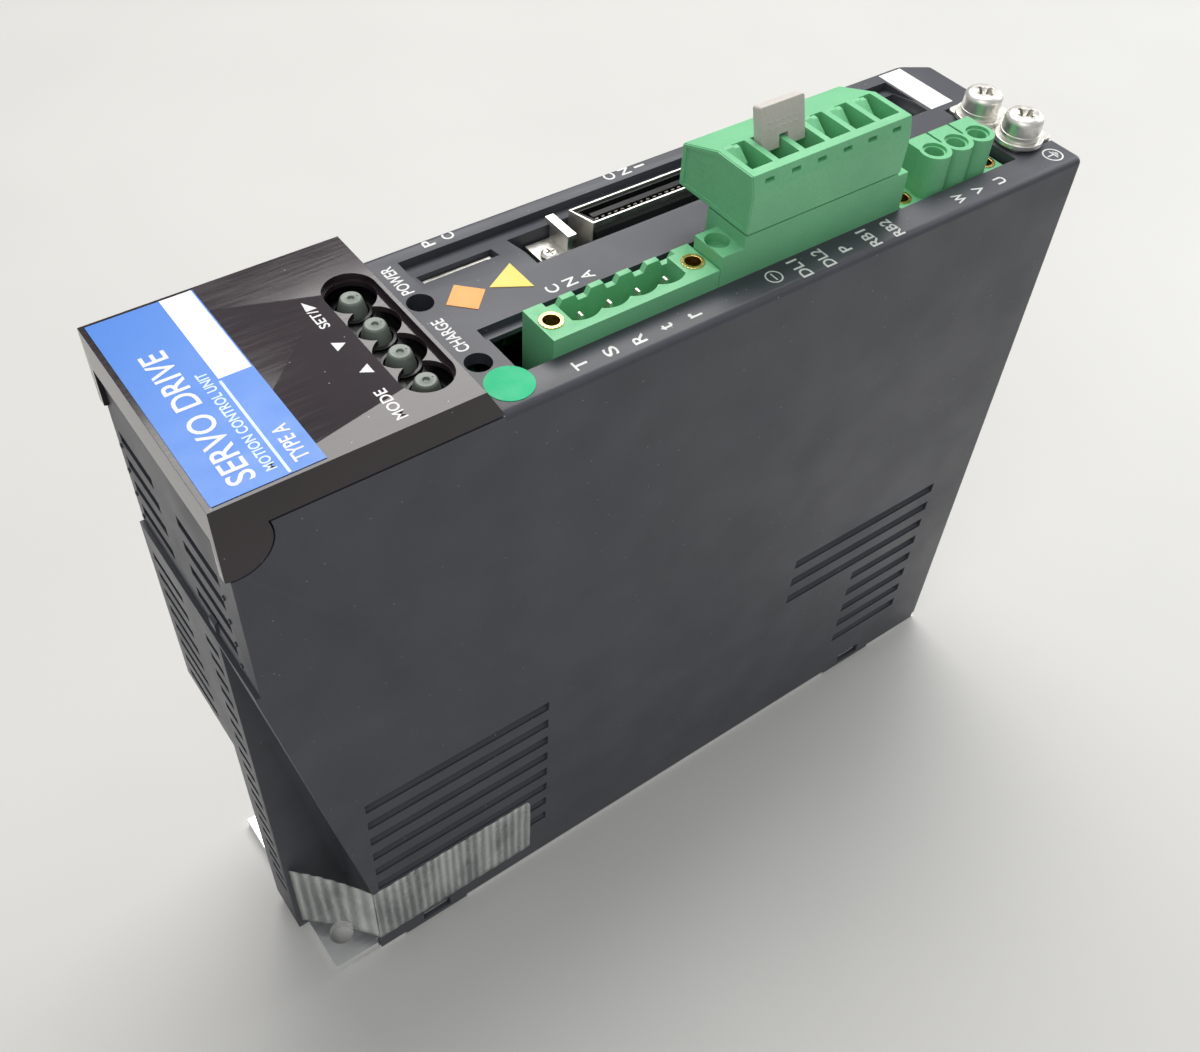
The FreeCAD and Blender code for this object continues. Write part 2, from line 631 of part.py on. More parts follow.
def motor_header():
    """Three-way header with round socket towers between two low flanges."""
    half = (MOTOR_POLES + 1) * PITCH / 2 + INSERT_R + FLANGE_WALL
    base = box(MOTOR_X - half, MOTOR_X + half, ROW_NEAR + 0.2, ROW_FAR, HEADER_Z0, MOTOR_FLANGE_TOP)
    towers = []
    cutters = []
    for x in row(MOTOR_X, MOTOR_POLES, PITCH):
        towers.append(disc(x, ROW_Y - 0.6, 120.0, MOTOR_TOP, TOWER_R + 0.25))
        towers.append(box(x - 2.3, x + 2.3, ROW_Y - 0.6, ROW_FAR, 120.0, MOTOR_TOP))
        cutters.append(disc(x, ROW_Y - 0.4, 123.0, MOTOR_TOP + OVER, 1.6))
        cutters.append(disc(x, ROW_Y - 0.4, MOTOR_TOP - 0.5, MOTOR_TOP + OVER, 2.0))
    for x in flange_places(MOTOR_X, MOTOR_POLES):
        cutters.append(disc(x, ROW_Y, MOTOR_FLANGE_TOP - INSERT_LENGTH, MOTOR_FLANGE_TOP + OVER, INSERT_R))
    return cut_each(join([base] + towers), cutters)


def motor_sockets():
    sockets = []
    for x in row(MOTOR_X, MOTOR_POLES, PITCH):
        tube = disc(x, ROW_Y - 0.4, 123.2, MOTOR_TOP - 2.4, 1.5)
        sockets.append(tube.cut(disc(x, ROW_Y - 0.4, 124.2, MOTOR_TOP, 1.0)))
    return group(sockets)


# ---------------------------------------------------------------- signal connectors
SHELL_HALF_Y = 2.5
SHELL_T = 0.35
SHELL_FLANGE_T = 0.6
INSERT_PLAY = 0.02       # between a shell and the moulding inside it
LATCH_REACH = 3.2        # from the shell's end to the latch post
LATCH_FOOT_T = 0.7
LONG_FOOT = 5.0
SHORT_FOOT = 1.1
EAR_TOP = 124.2
SIGNAL_SCREW_R = 0.8


def shell_half(columns):
    return columns * FINE_PITCH / 2 + 2.6


def signal_outline(centre, half, depth):
    """D-shaped mouth: the near side is shorter than the far side."""
    return [(centre - half, IO_Y + depth), (centre + half, IO_Y + depth),
            (centre + half - 1.3, IO_Y - depth), (centre - half + 1.3, IO_Y - depth)]


def signal_shell(centre, columns):
    half = shell_half(columns)
    board = FRONT_BOARD_Z + BOARD_T
    outer = prism("z", signal_outline(centre, half, SHELL_HALF_Y), board, SIGNAL_TOP)
    mouth = signal_outline(centre, half - SHELL_T, SHELL_HALF_Y - SHELL_T)
    inner = prism("z", mouth, board - 1, SIGNAL_TOP + 1)
    reach = half + 1.2
    flange = box(centre - reach, centre + reach, IO_Y - 4.4, IO_Y + 2.6, board, board + SHELL_FLANGE_T)
    flange = flange.cut(outer)
    return join([outer, flange]).cut(inner)


def signal_insert(centre, columns):
    """Moulded body: a tray with a long contact tongue inside the shell, and a foot along its near side."""
    half = shell_half(columns) - SHELL_T - INSERT_PLAY
    board = FRONT_BOARD_Z + BOARD_T
    depth = SHELL_HALF_Y - SHELL_T - INSERT_PLAY
    tray = prism("z", signal_outline(centre, half, depth), board, SIGNAL_TOP - 0.4)
    well = prism("z", signal_outline(centre, half - 1.0, depth - 0.5), SIGNAL_TOP - 4.6, SIGNAL_TOP)
    span = columns * FINE_PITCH / 2
    tongue = box(centre - span, centre + span, IO_Y - 0.55, IO_Y + 0.55, SIGNAL_TOP - 5.0, SIGNAL_TOP - 0.5)
    near_y = IO_Y - 5.3
    far_y = IO_Y - SHELL_HALF_Y - INSERT_PLAY
    foot_base = board + SHELL_FLANGE_T
    slope = [(near_y, foot_base), (far_y, foot_base), (far_y, SIGNAL_TOP - 1.0), (far_y - 0.6, SIGNAL_TOP - 1.4),
             (near_y, foot_base + 2.0)]
    foot = prism("x", slope, centre - half + 1.0, centre + half - 1.0)
    return group([join([tray.cut(well), tongue]), foot])


def signal_contacts(centre, columns):
    contacts = []
    for x in row(centre, columns, FINE_PITCH):
        for side in (-1, 1):
            y0, y1 = sorted((IO_Y + side * 0.57, IO_Y + side * 0.82))
            contacts.append(box(x - 0.28, x + 0.28, y0, y1, SIGNAL_TOP - 4.55, SIGNAL_TOP - 0.85))
    return group(contacts)


def both_signals(make):
    return group([make(IO_X, IO_COLUMNS), make(ENCODER_X, ENCODER_COLUMNS)])


def latches():
    """Place, side and length of the foot of each latch; the two outer feet are long and carry a screw."""
    places = []
    for centre, columns, outer in ((IO_X, IO_COLUMNS, -1), (ENCODER_X, ENCODER_COLUMNS, 1)):
        for side in (-1, 1):
            x = centre + side * (shell_half(columns) + LATCH_REACH)
            places.append((x, side, LONG_FOOT if side == outer else SHORT_FOOT))
    return places


def latch_screw_places():
    return [(x + side * (foot - 1.7), IO_Y - 2.0) for x, side, foot in latches() if foot == LONG_FOOT]


def latch_block(x, side, foot):
    """Nickel latch post with a cross bar on top and a foot on the connector's ear."""
    post = box(x - 0.5, x + 0.5, IO_Y - 2.7, IO_Y + 2.2, EAR_TOP + LATCH_FOOT_T, SIGNAL_TOP - 0.4)
    bar = box(x - 0.9, x + 0.7, IO_Y - 3.4, IO_Y + 3.0, SIGNAL_TOP - 0.9, SIGNAL_TOP)
    x0, x1 = sorted((x - side * 0.5, x + side * foot))
    plate = box(x0, x1, IO_Y - 3.8, IO_Y + 2.4, EAR_TOP, EAR_TOP + LATCH_FOOT_T)
    return join([post, bar, plate])


def signal_latches():
    holes = [disc(x, y, EAR_TOP - 1.0, SIGNAL_TOP, SIGNAL_SCREW_R + 0.05) for x, y in latch_screw_places()]
    return group([cut_each(latch_block(x, side, foot), holes) for x, side, foot in latches()])


def signal_ears():
    """Moulded ears at both ends of a signal socket, which carry the latches."""
    board = FRONT_BOARD_Z + BOARD_T
    holes = [disc(x, y, board + 1.0, EAR_TOP + 1.0, SIGNAL_SCREW_R) for x, y in latch_screw_places()]
    ears = []
    for x, side, foot in latches():
        x0, x1 = sorted((x - side * (LATCH_REACH - 1.5), x + side * foot))
        ears.append(cut_each(box(x0, x1, IO_Y - 3.8, IO_Y + 2.4, board, EAR_TOP), holes))
    return ears


def signal_bodies():
    return group([signal_insert(IO_X, IO_COLUMNS), signal_insert(ENCODER_X, ENCODER_COLUMNS)] + signal_ears())


def signal_screws():
    seat = EAR_TOP + LATCH_FOOT_T
    screws = []
    for x, y in latch_screw_places():
        shank = disc(x, y, FRONT_BOARD_Z + BOARD_T + 1.2, seat, SIGNAL_SCREW_R)
        head = join([disc(x, y, seat, seat + 0.7, 1.5), taper(x, y, seat + 0.7, seat + 1.1, 1.5, 1.0)])
        cross = join([box(x - 0.9, x + 0.9, y - 0.2, y + 0.2, seat + 0.5, seat + 1.3),
                      box(x - 0.2, x + 0.2, y - 0.9, y + 0.9, seat + 0.5, seat + 1.3)])
        screws.append(join([shank, head]).cut(cross))
    return group(screws)


def service_port():
    """Small shielded socket under the long slot."""
    board = FRONT_BOARD_Z + BOARD_T
    body = box(-32.6, -20.2, 10.7, 12.8, board, 126.2)
    return body.cut(box(-31.9, -20.9, 11.2, 12.3, board + 1.0, 127.0))


# ---------------------------------------------------------------- earth terminals
def earth_plate():
    plate = box(70.3, X1 - 0.4, -12.9, 3.5, EARTH_PLATE_Z, EARTH_PLATE_Z + EARTH_PLATE_T)
    plate = round_edges(plate, 1.0, lambda b: b.ZLength > 1 and b.XLength < 0.01 and b.YLength < 0.01)
    holes = [disc(x, y, 120, 140, M4_R + 0.02) for x, y in EARTH_SCREWS]
    return cut_each(plate, holes)


WASHER_Z = EARTH_PLATE_Z + EARTH_PLATE_T
FLAT_T = 0.8
SPRING_T = 1.1
HEAD_T = 3.0
HEAD_R = 3.35


def flat_washers():
    return group([disc(x, y, WASHER_Z, WASHER_Z + FLAT_T, 4.2).cut(disc(x, y, 0, 200, M4_R + 0.2))
                  for x, y in EARTH_SCREWS])


def spring_washers():
    """Split lock washers, each cut through on a slant."""
    z0 = WASHER_Z + FLAT_T
    result = []
    for x, y in EARTH_SCREWS:
        ring = disc(x, y, z0, z0 + SPRING_T, 3.5).cut(disc(x, y, 0, 200, M4_R + 0.1))
        slant = [(y - 0.3, z0 - 1), (y + 0.1, z0 - 1), (y + 0.5, z0 + 3), (y + 0.1, z0 + 3)]
        result.append(ring.cut(prism("x", slant, x, x + 5)))
    return group(result)


def earth_screws():
    """M4 cross-recessed screws with domed heads."""
    z0 = WASHER_Z + FLAT_T + SPRING_T
    result = []
    for x, y in EARTH_SCREWS:
        shank = disc(x, y, 114.0, z0, M4_R - 0.02)
        head = round_edges(disc(x, y, z0, z0 + HEAD_T, HEAD_R), 1.2, lambda b: b.ZMin > z0 + HEAD_T - 0.1)
        arms = [box(x - 1.7, x + 1.7, y - 0.35, y + 0.35, z0 + 1.4, z0 + 4),
                box(x - 0.35, x + 0.35, y - 1.7, y + 1.7, z0 + 1.4, z0 + 4)]
        recess = join(arms + [taper(x, y, z0 + 1.0, z0 + HEAD_T + 0.1, 0.3, 1.2)])
        result.append(join([shank, head]).cut(recess))
    return group(result)


# ---------------------------------------------------------------- chassis and electronics
PLATE_X0 = -78.0
PLATE_X1 = 79.4


def mounting_plate():
    """Aluminium back plate with three fixing holes, hooks for the snap tabs and a lip under the near wall."""
    side = Y1 - 0.6
    outline = [(PLATE_X0, -side), (PLATE_X1, -side), (PLATE_X1, 14.8), (71.9, side), (PLATE_X0, side)]
    plate = prism("z", outline, 0.0, PLATE_T)
    lip = box(NOTCH_X, PLATE_X1, Y0 + 0.1, Y0 + 1.0, 0.0, LIP_T)
    cutters = [box(NOTCH_X - GAP, X1, Y0, Y0 + SKIRT_T + GAP, LIP_T, PLATE_T + 1.0)]
    plate = plate.fuse(lip)
    for x0, x1 in TABS:
        for sign in (-1, 1):
            y0, y1 = ear_side(sign)(Y1, Y1 - WALL - GAP)
            cutters.append(box(x0 - GAP, x1 + GAP, y0, y1, -1.0, PLATE_T + 1.0))
    for x, y in FIXING_HOLES:
        cutters.append(disc(x, y, -1.0, PLATE_T + 1.0, FIXING_R))
    hooks = []
    for x0, x1 in TABS:
        for sign in (-1, 1):
            span = ear_side(sign)
            y0, y1 = span(Y1 - WALL - GAP, Y1 - 2.5)
            hooks.append(box(x0 + 4.4, x1 - 4.0, y0, y1, 0.5, 3.7))
            y0, y1 = span(Y1 - 0.7, Y1 - WALL - GAP)
            hooks.append(box(x0 + 4.4, x1 - 4.0, y0, y1, 1.8, 3.7))
    return join([cut_each(plate, cutters)] + hooks)


SINK_X0 = -61.5
SINK_X1 = 64.0
SINK_HALF = 16.4
SINK_TOP = 32.0


def heat_sink():
    base = box(SINK_X0, SINK_X1, -SINK_HALF, SINK_HALF, SINK_TOP - 5.0, SINK_TOP)
    fins = [box(SINK_X0, SINK_X1, y - 0.9, y + 0.9, PLATE_T, SINK_TOP - 5.0)
            for y in row(0.0, 8, (2 * SINK_HALF - 1.8) / 7)]
    return join([base] + fins)


MODULE_SCREWS = [(-24.0, 2.5), (24.0, 2.5)]


def power_module():
    body = box(-28.0, 28.0, -4.0, 9.0, SINK_TOP, SINK_TOP + 6.0)
    return cut_each(body, [disc(x, y, SINK_TOP - 1, SINK_TOP + 7, 1.65) for x, y in MODULE_SCREWS])


def module_screws():
    result = []
    for x, y in MODULE_SCREWS:
        shank = disc(x, y, SINK_TOP, SINK_TOP + 6.0, 1.5)
        result.append(join([shank, disc(x, y, SINK_TOP + 6.0, SINK_TOP + 8.2, 2.8)]))
    return group(result)


def bridge_rectifier():
    return box(36.0, 58.0, -3.0, 3.5, SINK_TOP, SINK_TOP + 12.0)


def power_board():
    """Vertical board behind the power terminals; its top edge stops under the front wall."""
    low = box(-61.0, 74.0, POWER_BOARD_Y, POWER_BOARD_Y + BOARD_T, 40.0, 112.0)
    high = box(-34.0, 68.6, POWER_BOARD_Y, POWER_BOARD_Y + BOARD_T, 112.0, 117.4)
    return join([low, high])


def bus_capacitors():
    y = POWER_BOARD_Y + BOARD_T + 7.1
    caps = []
    for z in (49.0, 65.0, 81.0):
        can = round_edges(rod_x(y, z, -50.0, -8.0, 7.0), 0.8, lambda b: b.XLength < 0.01)
        caps.append(can)
    return group(caps)


def filter_choke():
    thickness = 8.4
    y = POWER_BOARD_Y + BOARD_T + thickness / 2
    return Part.makeTorus(9.0, thickness / 2, V(14.0, y, 66.0), V(0, 1, 0))


def charge_relays():
    y0 = POWER_BOARD_Y + BOARD_T
    return group([box(x, x + 16.0, y0, y0 + 10.5, 88.0, 102.0) for x in (2.0, 21.0)])


def heat_resistor():
    y0 = POWER_BOARD_Y + BOARD_T
    return box(38.0, 64.0, y0, y0 + 9.0, 60.0, 72.0)


def control_board():
    y1 = CONTROL_BOARD_Y + BOARD_T
    board = join([box(-60.0, 64.8, CONTROL_BOARD_Y, y1, 40.0, 113.4),
                  box(64.8, 74.0, CONTROL_BOARD_Y, y1, 58.4, 113.4)])
    holes = [rod_y(x, z, CONTROL_BOARD_Y - 1, CONTROL_BOARD_Y + 3, 1.6) for x, z in SPACER_PLACES]
    return cut_each(board, holes)


SPACER_PLACES = [(-54.0, 46.0), (60.0, 62.0), (-54.0, 106.0), (60.0, 106.0)]


def board_spacers():
    return group([rod_y(x, z, CONTROL_BOARD_Y + BOARD_T, 16.4, 2.6) for x, z in SPACER_PLACES])


def board_screws():
    result = []
    for x, z in SPACER_PLACES:
        head = rod_y(x, z, CONTROL_BOARD_Y - 1.8, CONTROL_BOARD_Y, 2.7)
        result.append(join([head, rod_y(x, z, CONTROL_BOARD_Y, CONTROL_BOARD_Y + BOARD_T, 1.5)]))
    return group(result)


def chassis_wall():
    """Sheet metal wall that carries the control board and stands beside the heat sink."""
    wall = box(-59.0, 64.0, 16.4, 17.4, PLATE_T, 112.0)
    windows = [box(-44.0, -8.0, 16.0, 18.0, 40.0, 96.0), box(4.0, 50.0, 16.0, 18.0, 40.0, 96.0)]
    windows += vent_rows(16.0, 18.0)
    return cut_each(wall, windows)


def control_chips():
    y1 = CONTROL_BOARD_Y
    chips = [box(-30.0, -14.0, y1 - 1.6, y1, 92.0, 108.0), box(8.0, 22.0, y1 - 1.4, y1, 94.0, 106.0),
             box(30.0, 44.0, y1 - 1.4, y1, 78.0, 84.0), box(-40.0, -34.0, y1 - 1.4, y1, 92.0, 106.0)]
    return group(chips)


def front_board():
    """Board under the front wall that carries the signal sockets."""
    top = FRONT_BOARD_Z + BOARD_T
    return join([box(-36.8, 68.0, 2.0, 17.6, FRONT_BOARD_Z, top),
                 box(-36.8, -33.0, -12.0, 2.0, FRONT_BOARD_Z, top)])


def board_links():
    """Plug-in strips between the front board and the control board."""
    y0 = CONTROL_BOARD_Y - 3.0
    return group([box(x, x + 24.0, y0, y0 + 5.6, 113.4, FRONT_BOARD_Z) for x in (-24.0, 30.0)])


# ---------------------------------------------------------------- labels
LABEL_T = 0.1


def flat_label(points, z, thickness=LABEL_T):
    return prism("z", points, z, z + thickness)


def name_label():
    label = flat_label([(-79.2, -19.4), (-64.1, -19.4), (-64.1, 19.4), (-79.2, 19.4)], COVER_TOP)
    return label.cut(type_patch())


def type_patch():
    return flat_label([(-68.9, 0.7), (-64.3, 0.7), (-64.3, 19.4), (-68.9, 19.4)], COVER_TOP)


def caution_diamond():
    reach = 3.35
    x = -29.8
    y = 4.1
    return flat_label([(x - reach, y), (x, y - reach), (x + reach, y), (x, y + reach)], PANEL_Z)


def caution_triangle():
    return flat_label([(-25.7, 4.2), (-20.0, 0.9), (-20.0, 7.5)], PANEL_Z)


def inspection_dot():
    return disc(-34.8, -15.0, PANEL_Z, PANEL_Z + LABEL_T, 3.6)


def blank_sticker():
    return flat_label([(68.2, 5.2), (73.6, 5.2), (73.6, 18.6), (68.2, 18.6)], PANEL_Z)


SIMPLE_PARTS = [
    main_case, side_cover, mounting_plate, chassis_wall, heat_sink, power_module, module_screws,
    bridge_rectifier, power_board, bus_capacitors, filter_choke, charge_relays, heat_resistor,
    control_board, control_chips, board_spacers, board_screws, front_board, board_links,
    operator_board, display_module, button_switches, button_bezel, indicator_lights,
    operator_cover, hinge_pins, mains_header, bus_header, bus_plug, plug_clamps,
    short_bar_grip, short_bar_prongs, motor_header, motor_sockets, signal_latches, signal_screws,
    service_port, earth_plate, flat_washers, spring_washers, earth_screws,
    name_label, type_patch, caution_diamond, caution_triangle, inspection_dot, blank_sticker,
]


def build_everything():
    for make in SIMPLE_PARTS:
        save(make.__name__, make())
    for name, y in zip(BUTTON_NAMES, BUTTON_Y):
        save(name, button(y))
    save("mains_pins", pins(MAINS_X, MAINS_POLES, MAINS_TOP - 0.9))
    save("bus_pins", pins(BUS_X, BUS_POLES, BUS_TOP - 4.4))
    save("mains_inserts", inserts(MAINS_X, MAINS_POLES, MAINS_TOP))
    save("motor_inserts", inserts(MOTOR_X, MOTOR_POLES, MOTOR_FLANGE_TOP))
    save("signal_shells", both_signals(signal_shell))
    save("signal_inserts", signal_bodies())
    save("signal_contacts", both_signals(signal_contacts))


os.makedirs("parts", exist_ok=True)
build_everything()
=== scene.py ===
import json
import math

import bmesh
import bpy
from mathutils import Matrix, Vector


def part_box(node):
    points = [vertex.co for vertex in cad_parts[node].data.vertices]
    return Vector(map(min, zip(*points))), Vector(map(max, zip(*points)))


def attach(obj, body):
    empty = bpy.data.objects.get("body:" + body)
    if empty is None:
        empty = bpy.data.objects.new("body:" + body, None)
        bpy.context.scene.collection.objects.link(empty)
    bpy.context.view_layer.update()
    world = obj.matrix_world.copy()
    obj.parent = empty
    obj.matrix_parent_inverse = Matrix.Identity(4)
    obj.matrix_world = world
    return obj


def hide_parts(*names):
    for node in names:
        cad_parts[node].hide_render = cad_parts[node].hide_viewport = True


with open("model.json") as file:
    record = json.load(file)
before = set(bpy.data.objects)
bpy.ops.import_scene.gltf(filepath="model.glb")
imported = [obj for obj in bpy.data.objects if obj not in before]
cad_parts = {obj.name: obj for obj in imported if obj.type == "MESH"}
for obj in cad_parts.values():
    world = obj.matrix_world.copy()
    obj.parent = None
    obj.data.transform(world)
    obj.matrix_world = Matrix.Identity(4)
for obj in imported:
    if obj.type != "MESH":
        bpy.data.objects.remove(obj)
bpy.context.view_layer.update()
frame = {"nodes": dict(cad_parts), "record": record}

# ---------------------------------------------------------------- driving sizes
MM = 0.001
PANEL_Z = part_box("blank_sticker")[0].z      # face of the front panel
COVER_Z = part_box("name_label")[0].z         # face of the operator cover
LABEL_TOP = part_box("name_label")[1].z
PRINT_RISE = 0.02                           # printed ink above its surface, in millimetres
PRINT_DEPTH = 0.04                          # and through it
INK = PRINT_RISE * MM
PITCH = 5.08 * MM                           # power terminals
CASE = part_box("main_case")
VENT_TOP_Z = 52.6                           # louvres, in millimetres
VENT_PITCH = 5.5
VENT_COUNT = 8
BODY_OF = {node: body for body, nodes in frame["record"]["behaviour"]["bodies"].items() for node in nodes}
SLOT_OF = {part["node"]: part["material_slot"] for part in frame["record"]["subparts"]}


# ---------------------------------------------------------------- node helpers
class Surface:
    """A Principled material whose colour, roughness and bump come from layered procedural textures."""

    def __init__(self, name, metallic=0.0, coat=0.0, coat_roughness=0.05, specular=0.5):
        self.material = bpy.data.materials.new(name)
        self.material.use_nodes = True
        self.tree = self.material.node_tree
        self.tree.nodes.clear()
        output = self.tree.nodes.new("ShaderNodeOutputMaterial")
        self.shader = self.tree.nodes.new("ShaderNodeBsdfPrincipled")
        self.tree.links.new(self.shader.outputs["BSDF"], output.inputs["Surface"])
        self.shader.inputs["Metallic"].default_value = metallic
        self.shader.inputs["Coat Weight"].default_value = coat
        self.shader.inputs["Coat Roughness"].default_value = coat_roughness
        self.shader.inputs["Specular IOR Level"].default_value = specular
        self.place = self.tree.nodes.new("ShaderNodeTexCoord").outputs["Object"]

    def link(self, out, into):
        self.tree.links.new(out, into)

    def stretched(self, stretch):
        mapping = self.tree.nodes.new("ShaderNodeMapping")
        mapping.inputs["Scale"].default_value = stretch
        self.link(self.place, mapping.inputs["Vector"])
        return mapping.outputs["Vector"]

    def noise(self, size_mm, detail=3.0, stretch=(1, 1, 1)):
        """Noise whose features are about size_mm across."""
        node = self.tree.nodes.new("ShaderNodeTexNoise")
        node.inputs["Scale"].default_value = 1.0 / (size_mm * MM)
        node.inputs["Detail"].default_value = detail
        self.link(self.stretched(stretch), node.inputs["Vector"])
        return node.outputs["Fac"]

    def cells(self, size_mm, feature="F1", stretch=(1, 1, 1)):
        node = self.tree.nodes.new("ShaderNodeTexVoronoi")
        node.feature = feature
        node.inputs["Scale"].default_value = 1.0 / (size_mm * MM)
        self.link(self.stretched(stretch), node.inputs["Vector"])
        return node.outputs["Distance"]

    def ramp(self, fac, low, high, low_value=0.0, high_value=1.0):
        node = self.tree.nodes.new("ShaderNodeMapRange")
        node.inputs["From Min"].default_value = low
        node.inputs["From Max"].default_value = high
        node.inputs["To Min"].default_value = low_value
        node.inputs["To Max"].default_value = high_value
        self.link(fac, node.inputs["Value"])
        return node.outputs["Result"]

    def mix(self, fac, first, second):
        """Blend two colours; each is a colour tuple or another node's output."""
        node = self.tree.nodes.new("ShaderNodeMix")
        node.data_type = "RGBA"
        self.link(fac, node.inputs["Factor"])
        for socket, value in (("A", first), ("B", second)):
            into = [s for s in node.inputs if s.name == socket and s.type == "RGBA"][0]
            if isinstance(value, tuple):
                into.default_value = value + (1.0,)
            else:
                self.link(value, into)
        return [s for s in node.outputs if s.type == "RGBA"][0]

    def colour(self, value):
        self.link(value, self.shader.inputs["Base Color"])

    def roughness(self, low, high, size_mm, detail=4.0, stretch=(1, 1, 1)):
        fac = self.noise(size_mm, detail, stretch)
        self.link(self.ramp(fac, 0.3, 0.7, low, high), self.shader.inputs["Roughness"])

    def bump(self, *layers):
        """Stack bumps; each layer is (height, depth_mm, strength)."""
        normal = None
        for height, depth_mm, strength in layers:
            node = self.tree.nodes.new("ShaderNodeBump")
            node.inputs["Strength"].default_value = strength
            node.inputs["Distance"].default_value = depth_mm * MM
            self.link(height, node.inputs["Height"])
            if normal is not None:
                self.link(normal, node.inputs["Normal"])
            normal = node.outputs["Normal"]
        self.link(normal, self.shader.inputs["Normal"])


def tint(rgb, factor):
    return tuple(min(1.0, channel * factor) for channel in rgb)


def moulded(name, rgb, rough=(0.38, 0.52), grain_mm=0.22, grain_depth=0.03, spread=0.12, dust=0.0,
            coat=0.0, subsurface=0.0, specular=0.5):
    """Moulded plastic: spark-eroded grain, faint flow mottling, handled patches and a little dust."""
    s = Surface(name, coat=coat, specular=specular)
    base = s.mix(s.ramp(s.noise(9.0, 4.0), 0.3, 0.7), tint(rgb, 1 - spread), tint(rgb, 1 + spread))
    base = s.mix(s.ramp(s.noise(0.5, 2.0), 0.35, 0.65, 0.0, 0.3), base, tint(rgb, 0.8))
    if dust > 0:
        specks = s.ramp(s.cells(2.6), 0.03, 0.06, dust, 0.0)
        base = s.mix(specks, base, (0.55, 0.54, 0.52))
    s.colour(base)
    s.roughness(rough[0], rough[1], 14.0)
    grain = s.noise(grain_mm, 3.0)
    s.bump((grain, grain_depth, 0.5), (s.noise(22.0, 2.0), 0.12, 0.25))
    if subsurface > 0:
        s.shader.inputs["Subsurface Weight"].default_value = subsurface
        s.shader.inputs["Subsurface Radius"].default_value = (0.4 * MM, 0.9 * MM, 0.5 * MM)
        s.shader.inputs["Subsurface Scale"].default_value = 1.0
    return s.material


def metal(name, rgb, rough=(0.16, 0.32), grain=(1, 1, 1), grain_mm=0.5, depth=0.01, tarnish=0.12):
    """Metal with a drawn or plated grain and a little tarnish."""
    s = Surface(name, metallic=1.0)
    base = s.mix(s.ramp(s.noise(2.6, 5.0), 0.35, 0.75), tint(rgb, 1.0), tint(rgb, 1 - tarnish))
    s.colour(base)
    s.roughness(rough[0], rough[1], grain_mm * 3, 5.0, grain)
    s.bump((s.noise(grain_mm, 4.0, grain), depth, 0.6))
    return s.material


def paper(name, rgb, rough=(0.42, 0.58), coat=0.0):
    """Printed adhesive film: flat ink with fibre-fine mottling and a slightly lifted, uneven surface."""
    s = Surface(name, coat=coat, coat_roughness=0.2)
    s.colour(s.mix(s.ramp(s.noise(0.35, 3.0), 0.3, 0.7), tint(rgb, 0.96), tint(rgb, 1.04)))
    s.roughness(rough[0], rough[1], 3.0)
    s.bump((s.noise(3.5, 2.0), 0.03, 0.5), (s.noise(0.18, 2.0), 0.004, 0.5))
    return s.material


def smoked_gloss():
    """Polished smoke-brown plastic with fine wiping scratches, dust and soft waviness."""
    s = Surface("smoked_gloss", coat=0.25, coat_roughness=0.06, specular=0.35)
    rgb = (0.020, 0.0125, 0.0165)
    base = s.mix(s.ramp(s.noise(16.0, 3.0), 0.3, 0.7), tint(rgb, 0.8), tint(rgb, 1.25))
    base = s.mix(s.ramp(s.cells(3.1), 0.02, 0.05, 0.5, 0.0), base, (0.45, 0.42, 0.42))
    s.colour(base)
    wiping = s.noise(0.5, 4.0, (0.06, 1.0, 1.0))
    s.link(s.ramp(wiping, 0.35, 0.75, 0.09, 0.19), s.shader.inputs["Roughness"])
    s.bump((wiping, 0.003, 0.35), (s.noise(18.0, 2.0), 0.1, 0.25))
    return s.material


def circuit_board():
    """Solder mask over copper tracks, with bare tinned pads."""
    s = Surface("circuit_board", coat=0.35, coat_roughness=0.15)
    tracks = s.ramp(s.cells(3.2, "DISTANCE_TO_EDGE"), 0.04, 0.09)
    base = s.mix(tracks, (0.035, 0.20, 0.12), (0.012, 0.10, 0.055))
    pads = s.ramp(s.cells(2.4), 0.10, 0.13)
    base = s.mix(pads, (0.55, 0.56, 0.54), base)
    s.colour(base)
    s.roughness(0.28, 0.42, 3.0)
    s.bump((tracks, 0.03, 0.6), (s.noise(0.4, 2.0), 0.006, 0.5))
    return s.material


def clear_film():
    """Clear ribbed film: mostly see-through, whiter along its ribs and where it has lifted."""
    s = Surface("clear_film", specular=0.6)
    ribs = s.tree.nodes.new("ShaderNodeTexWave")
    ribs.inputs["Scale"].default_value = 190.0
    ribs.inputs["Distortion"].default_value = 5.0
    ribs.inputs["Detail"].default_value = 3.0
    ribs.inputs["Detail Scale"].default_value = 0.5
    s.link(s.stretched((1, 0.35, 0.10)), ribs.inputs["Vector"])
    height = ribs.outputs["Fac"]
    s.colour(s.mix(height, (0.50, 0.53, 0.52), (0.74, 0.75, 0.72)))
    s.roughness(0.12, 0.35, 4.0)
    cloudy = s.ramp(s.noise(7.0, 3.0, (1, 1, 0.4)), 0.38, 0.62)
    streaks = s.tree.nodes.new("ShaderNodeMath")
    streaks.operation = "MULTIPLY_ADD"
    s.link(height, streaks.inputs[0])
    streaks.inputs[1].default_value = 0.45
    s.link(cloudy, streaks.inputs[2])
    whiteness = s.ramp(streaks.outputs["Value"], 0.1, 1.45, 0.20, 0.72)
    s.link(whiteness, s.shader.inputs["Alpha"])
    s.bump((height, 0.12, 0.8))
    return s.material


def lamp_plastic():
    s = Surface("lamp_plastic", specular=0.6)
    s.colour(s.mix(s.noise(0.8, 2.0), (0.62, 0.68, 0.66), (0.74, 0.78, 0.76)))
    s.roughness(0.10, 0.25, 1.5)
    s.bump((s.noise(0.4, 2.0), 0.01, 0.3))
    s.shader.inputs["Transmission Weight"].default_value = 0.55
    s.shader.inputs["IOR"].default_value = 1.5
    return s.material


